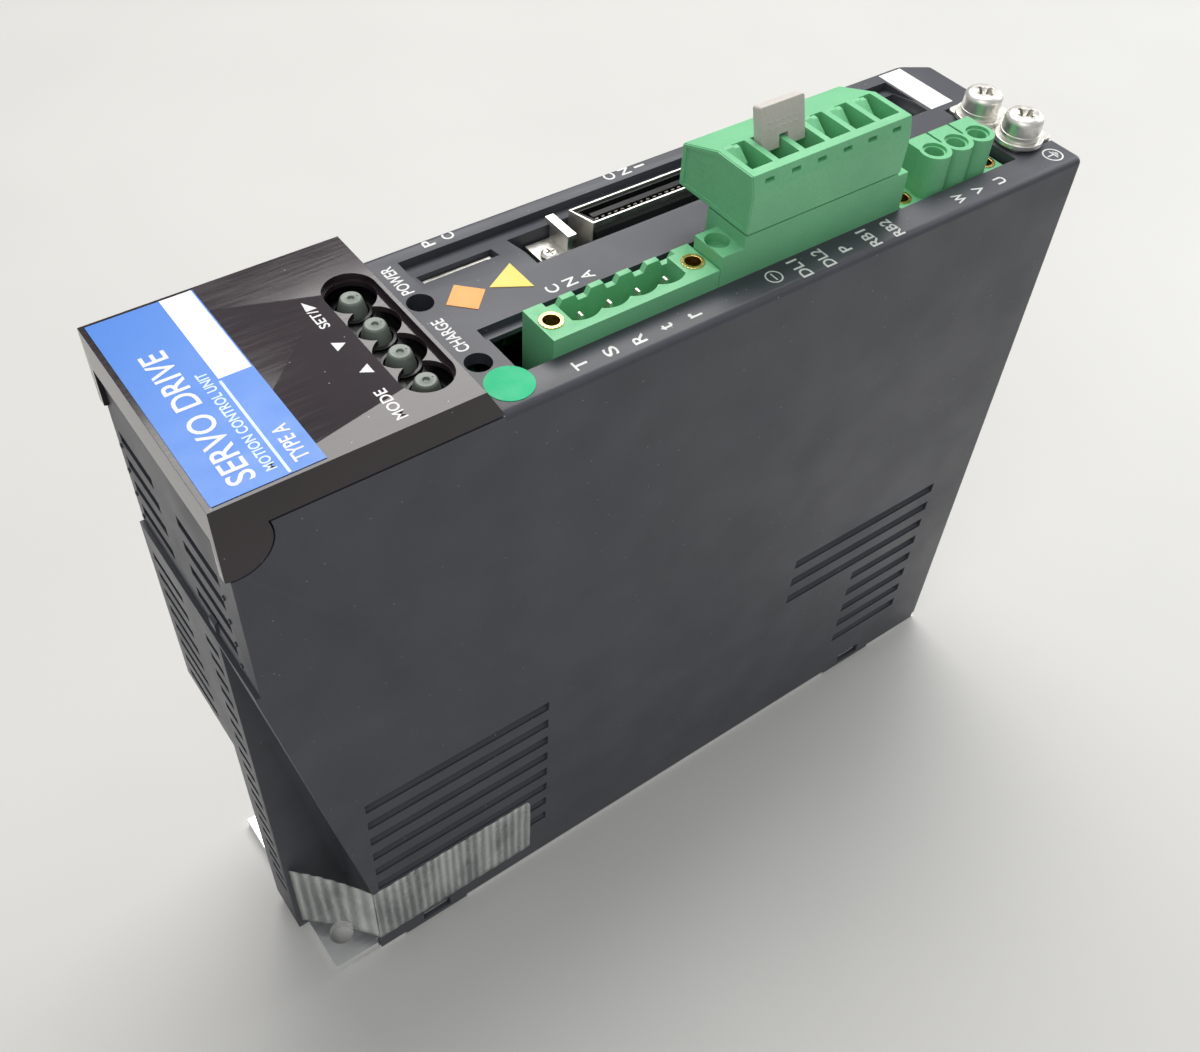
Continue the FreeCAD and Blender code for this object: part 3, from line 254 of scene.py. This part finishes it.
MINT = (0.17, 0.52, 0.26)
LOOK = {
    "case_grey": moulded("case_plastic", (0.054, 0.0565, 0.070), dust=0.35, rough=(0.36, 0.50)),
    "case_side": moulded("side_plastic", (0.052, 0.055, 0.068), dust=0.35, rough=(0.38, 0.52)),
    "cover_smoke": smoked_gloss(),
    "plate_aluminium": metal("rolled_aluminium", (0.92, 0.925, 0.93), (0.34, 0.5), (0.04, 1, 1), 0.35, 0.01,
                             0.06),
    "steel_sheet": metal("zinc_sheet", (0.60, 0.61, 0.63), (0.3, 0.45), (1, 1, 1), 2.0, 0.01, 0.2),
    "sink_black": metal("black_anodised", (0.035, 0.036, 0.04), (0.35, 0.5), (0.05, 1, 1), 0.4, 0.01),
    "steel_screw": metal("zinc_screw", (0.66, 0.66, 0.64)),
    "nickel": metal("nickel_plate", (0.88, 0.86, 0.81), (0.30, 0.46), (1, 1, 1), 0.6, 0.012, 0.14),
    "tin": metal("tin_plate", (0.66, 0.63, 0.56), (0.30, 0.45), (1, 1, 0.2), 0.3, 0.01),
    "brass_insert": metal("turned_brass", (0.83, 0.60, 0.24), (0.15, 0.3), (1, 1, 3), 0.3, 0.015, 0.25),
    "mint_plastic": moulded("mint_plastic", MINT, (0.36, 0.48), 0.3, 0.012, 0.06, subsurface=0.12),
    "green_plastic": moulded("plug_plastic", tint(MINT, 1.04), (0.34, 0.46), 0.3, 0.012, 0.06,
                             subsurface=0.12),
    "board_green": circuit_board(),
    "black_plastic": moulded("black_plastic", (0.010, 0.010, 0.011), (0.20, 0.32), 0.25, 0.006, 0.2,
                             specular=0.3),
    "capacitor_sleeve": moulded("capacitor_sleeve", (0.02, 0.03, 0.10), (0.18, 0.3), 1.5, 0.01, 0.1,
                                coat=0.4),
    "ferrite": moulded("copper_winding", (0.34, 0.12, 0.035), (0.25, 0.4), 0.8, 0.12, 0.3),
    "relay_plastic": moulded("relay_plastic", (0.62, 0.62, 0.57), (0.35, 0.5)),
    "ceramic_white": moulded("ceramic", (0.66, 0.65, 0.60), (0.6, 0.8), 0.4, 0.05, 0.1),
    "button_grey": moulded("button_plastic", (0.19, 0.222, 0.192), (0.36, 0.48), 0.2, 0.012, 0.1),
    "lamp_clear": lamp_plastic(),
    "bar_grey": moulded("bar_plastic", (0.58, 0.54, 0.50), (0.38, 0.52), 0.3, 0.02, 0.05, subsurface=0.1),
    "label_blue": paper("blue_print", (0.022, 0.17, 0.60), (0.30, 0.42), coat=0.15),
    "patch_white": paper("white_print", (0.80, 0.80, 0.79)),
    "sticker_orange": paper("orange_print", (0.90, 0.36, 0.09)),
    "sticker_yellow": paper("yellow_print", (0.82, 0.62, 0.13)),
    "sticker_green": paper("green_print", (0.0, 0.46, 0.20), (0.5, 0.7)),
}
WHITE_INK = paper("white_ink", (0.72, 0.72, 0.72), (0.45, 0.6))
PALE_BLUE_INK = paper("pale_blue_ink", (0.58, 0.70, 0.90), (0.35, 0.45))
FILM = clear_film()


# ---------------------------------------------------------------- mesh helpers
def place(name, mesh, body, slot, material=None, replaced=()):
    piece = bpy.data.objects.new(name, mesh)
    bpy.context.scene.collection.objects.link(piece)
    mesh.materials.clear()
    mesh.materials.append(material or LOOK[slot])
    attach(piece, body)
    if replaced:
        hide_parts(*replaced)
    return piece


def to_mesh(name, bm):
    mesh = bpy.data.meshes.new(name)
    bmesh.ops.recalc_face_normals(bm, faces=bm.faces)
    bm.to_mesh(mesh)
    bm.free()
    return mesh


def shade(mesh, degrees=35):
    mesh.shade_smooth()
    mesh.set_sharp_from_angle(angle=math.radians(degrees))


def bevel(piece, width_mm, segments=2, degrees=32):
    modifier = piece.modifiers.new("edge", "BEVEL")
    modifier.width = width_mm * MM
    modifier.segments = segments
    modifier.limit_method = "ANGLE"
    modifier.angle_limit = math.radians(degrees)
    modifier.harden_normals = True
    return piece


def soften(node, width_mm, segments=2):
    """A copy of a CAD node with its flat faces rejoined and its edges rounded, standing for that node."""
    bm = bmesh.new()
    bm.from_mesh(frame["nodes"][node].data)
    bmesh.ops.remove_doubles(bm, verts=bm.verts, dist=0.002 * MM)
    bmesh.ops.dissolve_limit(bm, angle_limit=math.radians(0.8), verts=bm.verts, edges=bm.edges)
    mesh = to_mesh(node + "_finished", bm)
    shade(mesh)
    piece = place(node + "_finished", mesh, BODY_OF[node], SLOT_OF[node], replaced=(node,))
    return bevel(piece, width_mm, segments)


def add_prism(bm, axis, outline, start, end):
    """Extruded outline, in millimetres: axis x takes (y, z), y takes (x, z), z takes (x, y)."""
    rings = []
    for level in (start, end):
        if axis == "x":
            points = [(level, a, b) for a, b in outline]
        elif axis == "y":
            points = [(a, level, b) for a, b in outline]
        else:
            points = [(a, b, level) for a, b in outline]
        rings.append([bm.verts.new(Vector(p) * MM) for p in points])
    bm.faces.new(rings[0])
    bm.faces.new(rings[1])
    count = len(outline)
    for index in range(count):
        after = (index + 1) % count
        bm.faces.new((rings[0][index], rings[0][after], rings[1][after], rings[1][index]))


def add_box(bm, x0, x1, y0, y1, z0, z1):
    add_prism(bm, "z", [(x0, y0), (x1, y0), (x1, y1), (x0, y1)], z0, z1)


def add_lathe(bm, x, y, profile, steps=40):
    """Turned shape about a vertical axis; profile is (radius, z) from bottom to top, in millimetres."""
    rings = []
    for radius, z in profile:
        if radius == 0:
            rings.append([bm.verts.new(Vector((x, y, z)) * MM)])
            continue
        ring = []
        for step in range(steps):
            angle = 2 * math.pi * step / steps
            point = Vector((x + radius * math.cos(angle), y + radius * math.sin(angle), z))
            ring.append(bm.verts.new(point * MM))
        rings.append(ring)
    for low, high in zip(rings, rings[1:]):
        for step in range(steps):
            after = (step + 1) % steps
            if len(low) == 1:
                bm.faces.new((low[0], high[step], high[after]))
            elif len(high) == 1:
                bm.faces.new((low[step], low[after], high[0]))
            else:
                bm.faces.new((low[step], low[after], high[after], high[step]))
    for ring in (rings[0], rings[-1]):
        if len(ring) > 1:
            bm.faces.new(ring)


def shape(name, build, body, slot, material=None, edge_mm=0.0, replaced=()):
    bm = bmesh.new()
    build(bm)
    mesh = to_mesh(name, bm)
    shade(mesh)
    piece = place(name, mesh, body, slot, material, replaced)
    if edge_mm > 0:
        bevel(piece, edge_mm)
    return piece


# ---------------------------------------------------------------- printed marks
def letters(name, text, x, y, length, height, z=None, body="case", slot="patch_white", ink=None, bold=0.05):
    """Ink lettering that reads along +Y with its tops towards -X, fitted to length and height in mm."""
    surface = PANEL_Z if z is None else z
    curve = bpy.data.curves.new(name, "FONT")
    curve.body = text
    curve.size = 1.0
    curve.resolution_u = 4
    curve.offset = bold * 0.3
    curve.extrude = 0.5
    flat = bpy.data.objects.new(name + "_curve", curve)
    bpy.context.scene.collection.objects.link(flat)
    bpy.context.view_layer.update()
    mesh = bpy.data.meshes.new_from_object(flat.evaluated_get(bpy.context.evaluated_depsgraph_get()))
    bpy.data.objects.remove(flat)
    low = Vector([min(v.co[i] for v in mesh.vertices) for i in range(3)])
    high = Vector([max(v.co[i] for v in mesh.vertices) for i in range(3)])
    middle = (low + high) / 2
    for vertex in mesh.vertices:
        along = (vertex.co.x - middle.x) / (high.x - low.x) * length
        up = (vertex.co.y - middle.y) / (high.y - low.y) * height
        vertex.co = Vector(((x - up) * MM, (y + along) * MM, surface + (INK if vertex.co.z > 0 else -INK)))
    mesh.name = name
    return place(name, mesh, body, slot, ink or WHITE_INK)


def ring_mark(name, x, y, radius, width, strokes):
    """A printed circle with strokes in it; each stroke is (x0, x1, y0, y1) about its centre."""
    def build(bm):
        top = PANEL_Z / MM + PRINT_RISE
        steps = 48
        rings = []
        inner = radius - width
        for r, z in ((radius, top - PRINT_DEPTH), (radius, top), (inner, top), (inner, top - PRINT_DEPTH)):
            ring = []
            for i in range(steps):
                angle = 2 * math.pi * i / steps
                ring.append(bm.verts.new(Vector((x + r * math.cos(angle), y + r * math.sin(angle), z)) * MM))
            rings.append(ring)
        for ring, following in zip(rings, rings[1:] + rings[:1]):
            for i in range(steps):
                after = (i + 1) % steps
                bm.faces.new((ring[i], ring[after], following[after], following[i]))
        for x0, x1, y0, y1 in strokes:
            add_box(bm, x + x0, x + x1, y + y0, y + y1, top - PRINT_DEPTH, top)
    return shape(name, build, "case", "patch_white", WHITE_INK)


def triangle_mark(name, points):
    top = COVER_Z / MM + PRINT_RISE

    def build(bm):
        add_prism(bm, "z", points, top - PRINT_DEPTH, top)
    return shape(name, build, "cover", "patch_white", WHITE_INK)


def print_panel():
    near_row = -17.0
    far_row = 18.3
    for name, x in zip("TSRtr", (-24.4, -19.2, -14.3, -9.2, -4.0)):
        suffix = "upper" if name.isupper() else "lower"
        text_width = 1.9 if name.isupper() else 1.1
        letters("mark_mains_" + name + suffix, name, x, near_row, text_width, 2.2)
    for name, x, width in (("DL1", 16.6, 4.4), ("DL2", 21.4, 4.4), ("P", 26.0, 1.5), ("RB1", 31.2, 4.4),
                           ("RB2", 36.2, 4.4), ("W", 51.8, 2.3), ("V", 56.4, 1.8), ("U", 61.6, 1.7)):
        letters("mark_" + name, name, x, near_row, width, 2.1)
    for index, name in enumerate("PC"):
        letters("mark_port_" + name, name, -27.7 + 3.6 * index, far_row, 1.5, 2.0)
    for index, name in enumerate("CN1"):
        length = 0.45 if name == "1" else 1.7
        letters("mark_signal_" + name, name, 6.6 + 3.0 * index, far_row, length, 2.0)
    for index, name in enumerate("CNA"):
        letters("mark_mains_name_" + name, name, -18.0 + 3.1 * index, -1.0, 1.8, 2.1)
    for index, name in enumerate("CN2"):
        letters("mark_encoder_" + name, name, 52.4 + 3.1 * index, -0.7, 1.7, 2.0)
    letters("mark_power", "POWER", -36.3, 12.8, 7.2, 2.0)
    letters("mark_charge", "CHARGE", -36.2, -2.0, 7.9, 2.0)
    ring_mark("mark_minus", 11.8, -16.5, 1.45, 0.25, [(-0.12, 0.12, -0.85, 0.85)])
    stem = (-1.25, 0.1, -0.13, 0.13)
    bars = [(0.1, 0.32, -1.05, 1.05), (0.55, 0.75, -0.7, 0.7), (0.95, 1.12, -0.35, 0.35)]
    ring_mark("mark_earth", 75.6, -16.5, 1.85, 0.28, [stem] + bars)


def print_cover():
    letters("mark_mode", "MODE", -52.9, -15.2, 6.2, 1.7, COVER_Z, "cover")
    letters("mark_enter", "SET/", -52.6, 4.6, 4.2, 1.5, COVER_Z, "cover")
    triangle_mark("arrow_left", [(-53.0, 9.0), (-53.3, 6.9), (-51.7, 6.9)][::-1])
    triangle_mark("arrow_down", [(-53.6, -0.6), (-53.6, -2.6), (-51.9, -1.6)])
    triangle_mark("arrow_up", [(-53.3, -7.8), (-51.6, -8.8), (-51.6, -6.8)])
    letters("label_title", "SERVO DRIVE", -74.2, -4.0, 27.5, 3.6, LABEL_TOP, "cover", bold=0.03)
    letters("label_subtitle", "MOTION CONTROL UNIT", -70.5, -7.4, 20.5, 1.5, LABEL_TOP, "cover",
            ink=PALE_BLUE_INK)
    letters("label_type", "TYPE A", -66.6, -14.6, 7.0, 2.1, LABEL_TOP, "cover", ink=WHITE_INK)
    top = LABEL_TOP / MM + PRINT_RISE

    def line(bm):
        add_box(bm, -69.1, -68.7, -19.2, 0.2, top - PRINT_DEPTH, top)
    shape("label_line", line, "cover", "patch_white", PALE_BLUE_INK)


# ---------------------------------------------------------------- finished copies of the CAD parts
EDGES = {
    "main_case": 0.22, "side_cover": 0.22, "mounting_plate": 0.18, "operator_cover": 0.2,
    "mains_header": 0.16, "bus_header": 0.18, "bus_plug": 0.16, "motor_header": 0.14,
    "short_bar_grip": 0.14, "signal_shells": 0.07, "signal_inserts": 0.06, "signal_latches": 0.16,
    "earth_plate": 0.2, "flat_washers": 0.1, "spring_washers": 0.1, "earth_screws": 0.1,
    "signal_screws": 0.06, "mains_inserts": 0.08, "motor_inserts": 0.08, "motor_sockets": 0.06,
    "button_bezel": 0.12, "button_switches": 0.12, "display_module": 0.15, "service_port": 0.08,
    "plug_clamps": 0.06, "short_bar_prongs": 0.06, "mains_pins": 0.06, "bus_pins": 0.06, "heat_sink": 0.15,
    "power_module": 0.3, "charge_relays": 0.3, "operator_board": 0.08, "front_board": 0.08,
}       # width of each node's rounded edges, in millimetres


def finish_parts():
    for node, width in EDGES.items():
        soften(node, width)
    for node, piece in frame["nodes"].items():
        if node not in EDGES:
            piece.data.materials.clear()
            piece.data.materials.append(LOOK[SLOT_OF[node]])
            shade(piece.data)


# ---------------------------------------------------------------- buttons
def finish_buttons():
    """Tapered caps with a rounded shoulder, a dimple and a small nub beside it."""
    for name in ("button_enter", "button_down", "button_up", "button_mode"):
        low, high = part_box(name)
        x = (low.x + high.x) / 2 / MM
        y = (low.y + high.y) / 2 / MM
        z0 = low.z / MM
        z1 = high.z / MM
        flange = (high.x - low.x) / 2 / MM

        def build(bm):
            top = 1.55
            profile = [(0, z0), (flange, z0), (flange, z0 + 0.6), (2.2, z0 + 0.6), (2.15, z0 + 2.2),
                       (top + 0.12, z1 - 0.45), (top + 0.02, z1 - 0.16), (top - 0.16, z1), (0.62, z1),
                       (0.5, z1 - 0.06), (0.42, z1 - 0.4), (0, z1 - 0.5)]
            add_lathe(bm, x, y, profile)
            nub = [(0, z1 - 0.1), (0.16, z1 - 0.05), (0.12, z1 + 0.08), (0, z1 + 0.1)]
            add_lathe(bm, x + 1.0, y, nub, 16)
        shape(name + "_finished", build, BODY_OF[name], "button_grey", replaced=(name,))


# ---------------------------------------------------------------- plug, headers and sockets
def plug_flaps():
    """Release flaps at the near side of the wire entries, and the rim and mould marks of the plug's end."""
    low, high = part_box("bus_plug")
    centre = (low.x + high.x) / 2 / MM
    top = high.z / MM
    first = centre - 2.5 * PITCH / MM

    def build(bm):
        for index in (0, 3, 4, 5):
            x = first + index * PITCH / MM
            wide = [(-5.3, top - 0.05), (-6.1, top - 0.05), (-9.3, top - 2.2),
                    (-9.3, top - 3.0), (-5.3, top - 2.2)]
            narrow = [(-5.3, top - 0.25), (-6.2, top - 0.3), (-8.3, top - 1.9),
                      (-8.3, top - 2.9), (-5.3, top - 2.2)]
            add_prism(bm, "x", wide, x - 1.97, x - 0.35)
            add_prism(bm, "x", narrow, x - 0.35, x + 0.75)
    shape("plug_flaps", build, "plug", "green_plastic", edge_mm=0.08)

    def end_rim(bm):
        x = low.x / MM
        outer = [(-14.05, 136.0), (1.6, 136.0), (1.6, top - 2.7),
                 (-5.8, top - 0.1), (-13.5, top - 0.1), (-14.2, 142.2)]
        middle_y = -6.2
        middle_z = 140.6
        inner = [(middle_y + (a - middle_y) * 0.9, middle_z + (b - middle_z) * 0.86) for a, b in outer]
        count = len(outer)
        for index in range(count):
            after = (index + 1) % count
            corners = [outer[index], outer[after], inner[after], inner[index]]
            add_prism(bm, "x", corners, x - 0.25, x + 0.05)
    shape("plug_end_rim", end_rim, "plug", "green_plastic")

    def marks(bm):
        x0 = low.x / MM
        for row_index, z in enumerate((139.4, 140.4, 141.4)):
            add_box(bm, x0 - 0.06, x0 + 0.02, -3.2, -1.2 + 0.4 * row_index, z, z + 0.3)
    shape("plug_mould_marks", marks, "plug", "green_plastic")


def louvre_fins():
    """Sloping fins behind the louvres of the near side, as a moulding has them."""
    def build(bm):
        y0 = CASE[0].y / MM + 0.35
        for index in range(VENT_COUNT):
            z = VENT_TOP_Z - VENT_PITCH * index
            fin = [(y0, z - 1.25), (y0 + 2.6, z + 0.75), (y0 + 2.6, z + 0.15), (y0, z - 1.9)]
            add_prism(bm, "x", fin, -67.3, -29.9)
            add_prism(bm, "x", fin, 29.3 if index < 3 else 48.9, 68.5)
    shape("louvre_fins", build, "case", "case_side", edge_mm=0.08)


def bar_emboss():
    """Two rows of small raised bars on the face of the bridge bar's grip: moulded ornament, not lettering."""
    low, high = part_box("short_bar_grip")
    middle = (low.x + high.x) / 2 / MM
    lean = math.radians(15)
    y_face = -9.35
    z_base = 146.9

    def build(bm):
        for index in range(5):
            x = middle - 2.5 + index * 1.25
            for rise in (0.0, 0.9):
                z = z_base + rise
                add_box(bm, x - 0.32, x + 0.32, y_face - 0.06, y_face + 0.1, z, z + 0.28)
        turn = Matrix.Translation(Vector((0, -8.4, 140)) * MM) @ Matrix.Rotation(-lean, 4, "X")
        turn = turn @ Matrix.Translation(Vector((0, 8.4, -140)) * MM)
        bmesh.ops.transform(bm, matrix=turn, verts=bm.verts)
    shape("bar_emboss", build, "bar", "bar_grey", edge_mm=0.05)


def insert_knurls():
    """A ring of fine raised ridges on the top of every brass insert."""
    for node in ("mains_inserts", "motor_inserts"):
        low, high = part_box(node)
        top = high.z / MM
        y = (low.y + high.y) / 2 / MM
        radius = (high.y - low.y) / 2 / MM

        def build(bm):
            for x in (low.x / MM + radius, high.x / MM - radius):
                for step in range(20):
                    angle = 2 * math.pi * step / 20
                    inner = Vector((math.cos(angle), math.sin(angle), 0))
                    side = Vector((-inner.y, inner.x, 0)) * 0.09
                    centre = Vector((x, y, 0))
                    points = [centre + inner * 1.5 - side, centre + inner * 1.8 - side,
                              centre + inner * 1.8 + side, centre + inner * 1.5 + side]
                    add_prism(bm, "z", [(p.x, p.y) for p in points], top - 0.02, top + 0.05)
        shape(node + "_knurl", build, "case", "brass_insert")


def io_board_details():
    """Silk screen and small parts on the board seen beside the latch."""
    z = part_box("front_board")[1].z / MM

    def silk(bm):
        for x0, x1, y0, y1 in ((-16.0, -11.0, 12.6, 12.9), (-16.0, -15.7, 8.6, 12.9),
                               (-15.2, -12.6, 9.9, 11.6), (66.0, 67.2, 7.0, 12.5)):
            add_box(bm, x0, x1, y0, y1, z - 0.02, z + 0.03)
    shape("front_board_silk", silk, "case", "patch_white", WHITE_INK)

    def parts(bm):
        for x in (-15.9, -14.4):
            add_box(bm, x, x + 0.9, 5.9, 7.5, z, z + 0.5)
    shape("front_board_parts", parts, "case", "black_plastic", edge_mm=0.08)


def operator_bay_details():
    """Five-digit numeric display and the small parts on the operator board, seen when the cover is open."""
    display_low, display_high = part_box("display_module")
    top = display_high.z / MM
    x = (display_low.x + display_high.x) / 2 / MM
    segments = [(-2.6, 0), (-1.3, -1), (-1.3, 1), (0, 0), (1.3, -1), (1.3, 1), (2.6, 0)]

    def digits(bm):
        for index in range(5):
            y = 6.1 * (index - 2)
            for along, side in segments:
                centre = y + side * 1.45
                half_x, half_y = (0.25, 1.1) if side == 0 else (0.95, 0.22)
                add_box(bm, x + along - half_x, x + along + half_x, centre - half_y, centre + half_y,
                        top - 0.45, top - 0.33)
            add_lathe(bm, x + 2.6, y + 2.2, [(0.25, top - 0.45), (0.25, top - 0.33)], 12)
    shape("display_digits", digits, "case", "relay_plastic")
    board_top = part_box("operator_board")[1].z / MM

    def chips(bm):
        for index in range(9):
            y = -13.5 + index * 3.3
            add_box(bm, -52.9, -51.3, y, y + 0.8, board_top, board_top + 0.45)
        add_box(bm, -73.0, -67.5, -6.0, 6.0, board_top, board_top + 1.4)
    shape("operator_chips", chips, "case", "black_plastic", edge_mm=0.1)

    def joints(bm):
        for index in range(9):
            y = -13.5 + index * 3.3
            for xx in (-53.3, -51.3):
                add_box(bm, xx, xx + 0.4, y, y + 0.8, board_top, board_top + 0.42)
        for index in range(10):
            y = -5.4 + index * 1.2
            for xx in (-73.8, -67.6):
                add_box(bm, xx, xx + 1.0, y - 0.2, y + 0.2, board_top, board_top + 0.25)
        for y in (7.9, 1.15, -5.6, -12.35):
            for xx in (-49.9, -43.1):
                for shift in (-2.2, 1.6):
                    add_box(bm, xx, xx + 0.8, y + shift, y + shift + 0.6, board_top, board_top + 0.3)
    shape("operator_solder", joints, "case", "tin", edge_mm=0.08)


def inner_board_details():
    """Small parts on the power board, seen through the louvres."""
    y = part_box("power_board")[1].y / MM

    def parts(bm):
        for index in range(14):
            x = -56 + index * 8.5
            add_box(bm, x, x + 3.2, y, y + 1.4, 44.5, 46.1)
        for index in range(6):
            add_box(bm, -56 + index * 4.2, -53.5 + index * 4.2, y, y + 2.6, 106.0, 109.0)
    shape("power_board_parts", parts, "case", "black_plastic", edge_mm=0.15)


# ---------------------------------------------------------------- end face and side details
def end_face_details():
    """Locating dots beside the louvres and a small moulded catch at the ledge of the operator end."""
    x = CASE[0].x / MM + 0.7

    def build(bm):
        for index in range(4):
            z = 112.5 - 5.0 * index
            for y in (18.7, -15.1):
                dot = [(y - 0.3, z - 0.3), (y + 0.3, z - 0.3), (y + 0.3, z + 0.3), (y - 0.3, z + 0.3)]
                add_prism(bm, "x", dot, x - 0.25, x + 0.1)
        add_prism(bm, "y", [(x + 0.1, 96.6), (x - 0.5, 97.2), (x - 0.5, 98.8), (x + 0.1, 99.4)], -7.6, -5.6)
    shape("end_face_dots", build, "case", "case_grey", edge_mm=0.06)


def packing_tape():
    """Clear ribbed film left on the louvres of the near side and folded across the open notch."""
    y = CASE[0].y / MM - 0.05
    columns = 40
    rows = 12

    def build(bm):
        x0, x1, z0, z1 = -68.4, -33.8, 5.3, 23.3
        grid = []
        for i in range(columns + 1):
            line = []
            for j in range(rows + 1):
                x = x0 + (x1 - x0) * i / columns
                z = z0 + (z1 - z0) * j / rows
                if i == columns and j == rows:
                    x -= 0.5
                    z -= 0.5
                lift = 0.10 * math.sin(x * 1.9) * math.sin(z * 0.35) + 0.12
                line.append(bm.verts.new(Vector((x, y - max(0.02, lift) * 0.6, z)) * MM))
            grid.append(line)
        fold = []
        for i in range(15):
            t = i / 14
            line = []
            for j in range(rows + 1):
                x = -79.2 + (x0 + 79.2) * t
                y_here = -8.2 + (y + 8.2) * t
                z_low = 5.3
                z_high = 25.5 - 2.2 * t
                z = z_low + (z_high - z_low) * j / rows
                dip = 0.5 * math.sin(math.pi * t) + 0.12 * math.sin(t * 40.0)
                line.append(bm.verts.new(Vector((x + dip * 0.7, y_here + dip * 0.6, z)) * MM))
            fold.append(line)
        fold[-1] = grid[0]
        for sheet in (grid, fold):
            for first, second in zip(sheet, sheet[1:]):
                for j in range(rows):
                    bm.faces.new((first[j], second[j], second[j + 1], first[j + 1]))
        loose = [v for v in bm.verts if not v.link_faces]
        bmesh.ops.delete(bm, geom=loose, context="VERTS")
    piece = shape("packing_film", build, "case", "lamp_clear", FILM)
    thickness = piece.modifiers.new("thickness", "SOLIDIFY")
    thickness.thickness = 0.05 * MM


# ---------------------------------------------------------------- stage, lights and camera
def floor_material():
    s = Surface("pale_table", specular=0.35)
    rgb = (0.60, 0.595, 0.575)
    base = s.mix(s.ramp(s.noise(160.0, 4.0), 0.3, 0.7), tint(rgb, 0.97), tint(rgb, 1.02))
    s.colour(base)
    s.roughness(0.42, 0.55, 60.0)
    s.bump((s.noise(1.2, 3.0), 0.02, 0.2))
    return s.material


def stage():
    bm = bmesh.new()
    bmesh.ops.create_grid(bm, x_segments=2, y_segments=2, size=3.0)
    floor = bpy.data.objects.new("table", to_mesh("table", bm))
    floor.data.materials.append(floor_material())
    bpy.context.scene.collection.objects.link(floor)


def area_light(name, location, target, size, power, colour):
    lamp = bpy.data.lights.new(name, "AREA")
    lamp.shape = "DISK"
    lamp.size = size
    lamp.energy = power
    lamp.color = colour
    holder = bpy.data.objects.new(name, lamp)
    holder.location = location
    holder.rotation_euler = (Vector(target) - Vector(location)).to_track_quat("-Z", "Y").to_euler()
    bpy.context.scene.collection.objects.link(holder)


def lights():
    middle = (0.0, 0.0, 0.07)
    area_light("overhead", (0.22, 0.38, 0.85), middle, 0.7, 7.5, (1.0, 0.985, 0.96))
    area_light("window", (0.85, 0.05, 0.45), middle, 0.5, 2.4, (0.95, 0.98, 1.0))
    area_light("fill", (-0.55, -0.45, 0.85), middle, 0.9, 2.2, (1.0, 0.99, 0.97))
    world = bpy.data.worlds.new("studio")
    world.use_nodes = True
    background = world.node_tree.nodes["Background"]
    background.inputs["Color"].default_value = (0.88, 0.89, 0.90, 1.0)
    background.inputs["Strength"].default_value = 0.48
    bpy.context.scene.world = world
    bpy.context.scene.view_settings.view_transform = "Standard"


def camera():
    """The viewpoint: above the operator end's near corner, rolled a few degrees."""
    eye = Vector((-106.6, -124.98, 245.05)) * MM
    forward = Vector((0.4230, 0.5204, -0.7418)).normalized()
    right = Vector((0.8077, -0.5876, 0.0483))
    right = (right - forward * right.dot(forward)).normalized()
    up = right.cross(forward)
    lens = bpy.data.cameras.new("view")
    lens.sensor_width = 36.0
    lens.lens = 38.49
    lens.clip_start = 0.01
    holder = bpy.data.objects.new("view", lens)
    axes = Matrix((right, up, -forward)).transposed().to_4x4()
    holder.matrix_world = Matrix.Translation(eye) @ axes
    bpy.context.scene.collection.objects.link(holder)
    bpy.context.scene.camera = holder


finish_parts()
finish_buttons()
print_panel()
print_cover()
plug_flaps()
louvre_fins()
bar_emboss()
insert_knurls()
io_board_details()
operator_bay_details()
inner_board_details()
end_face_details()
packing_tape()
stage()
lights()
camera()
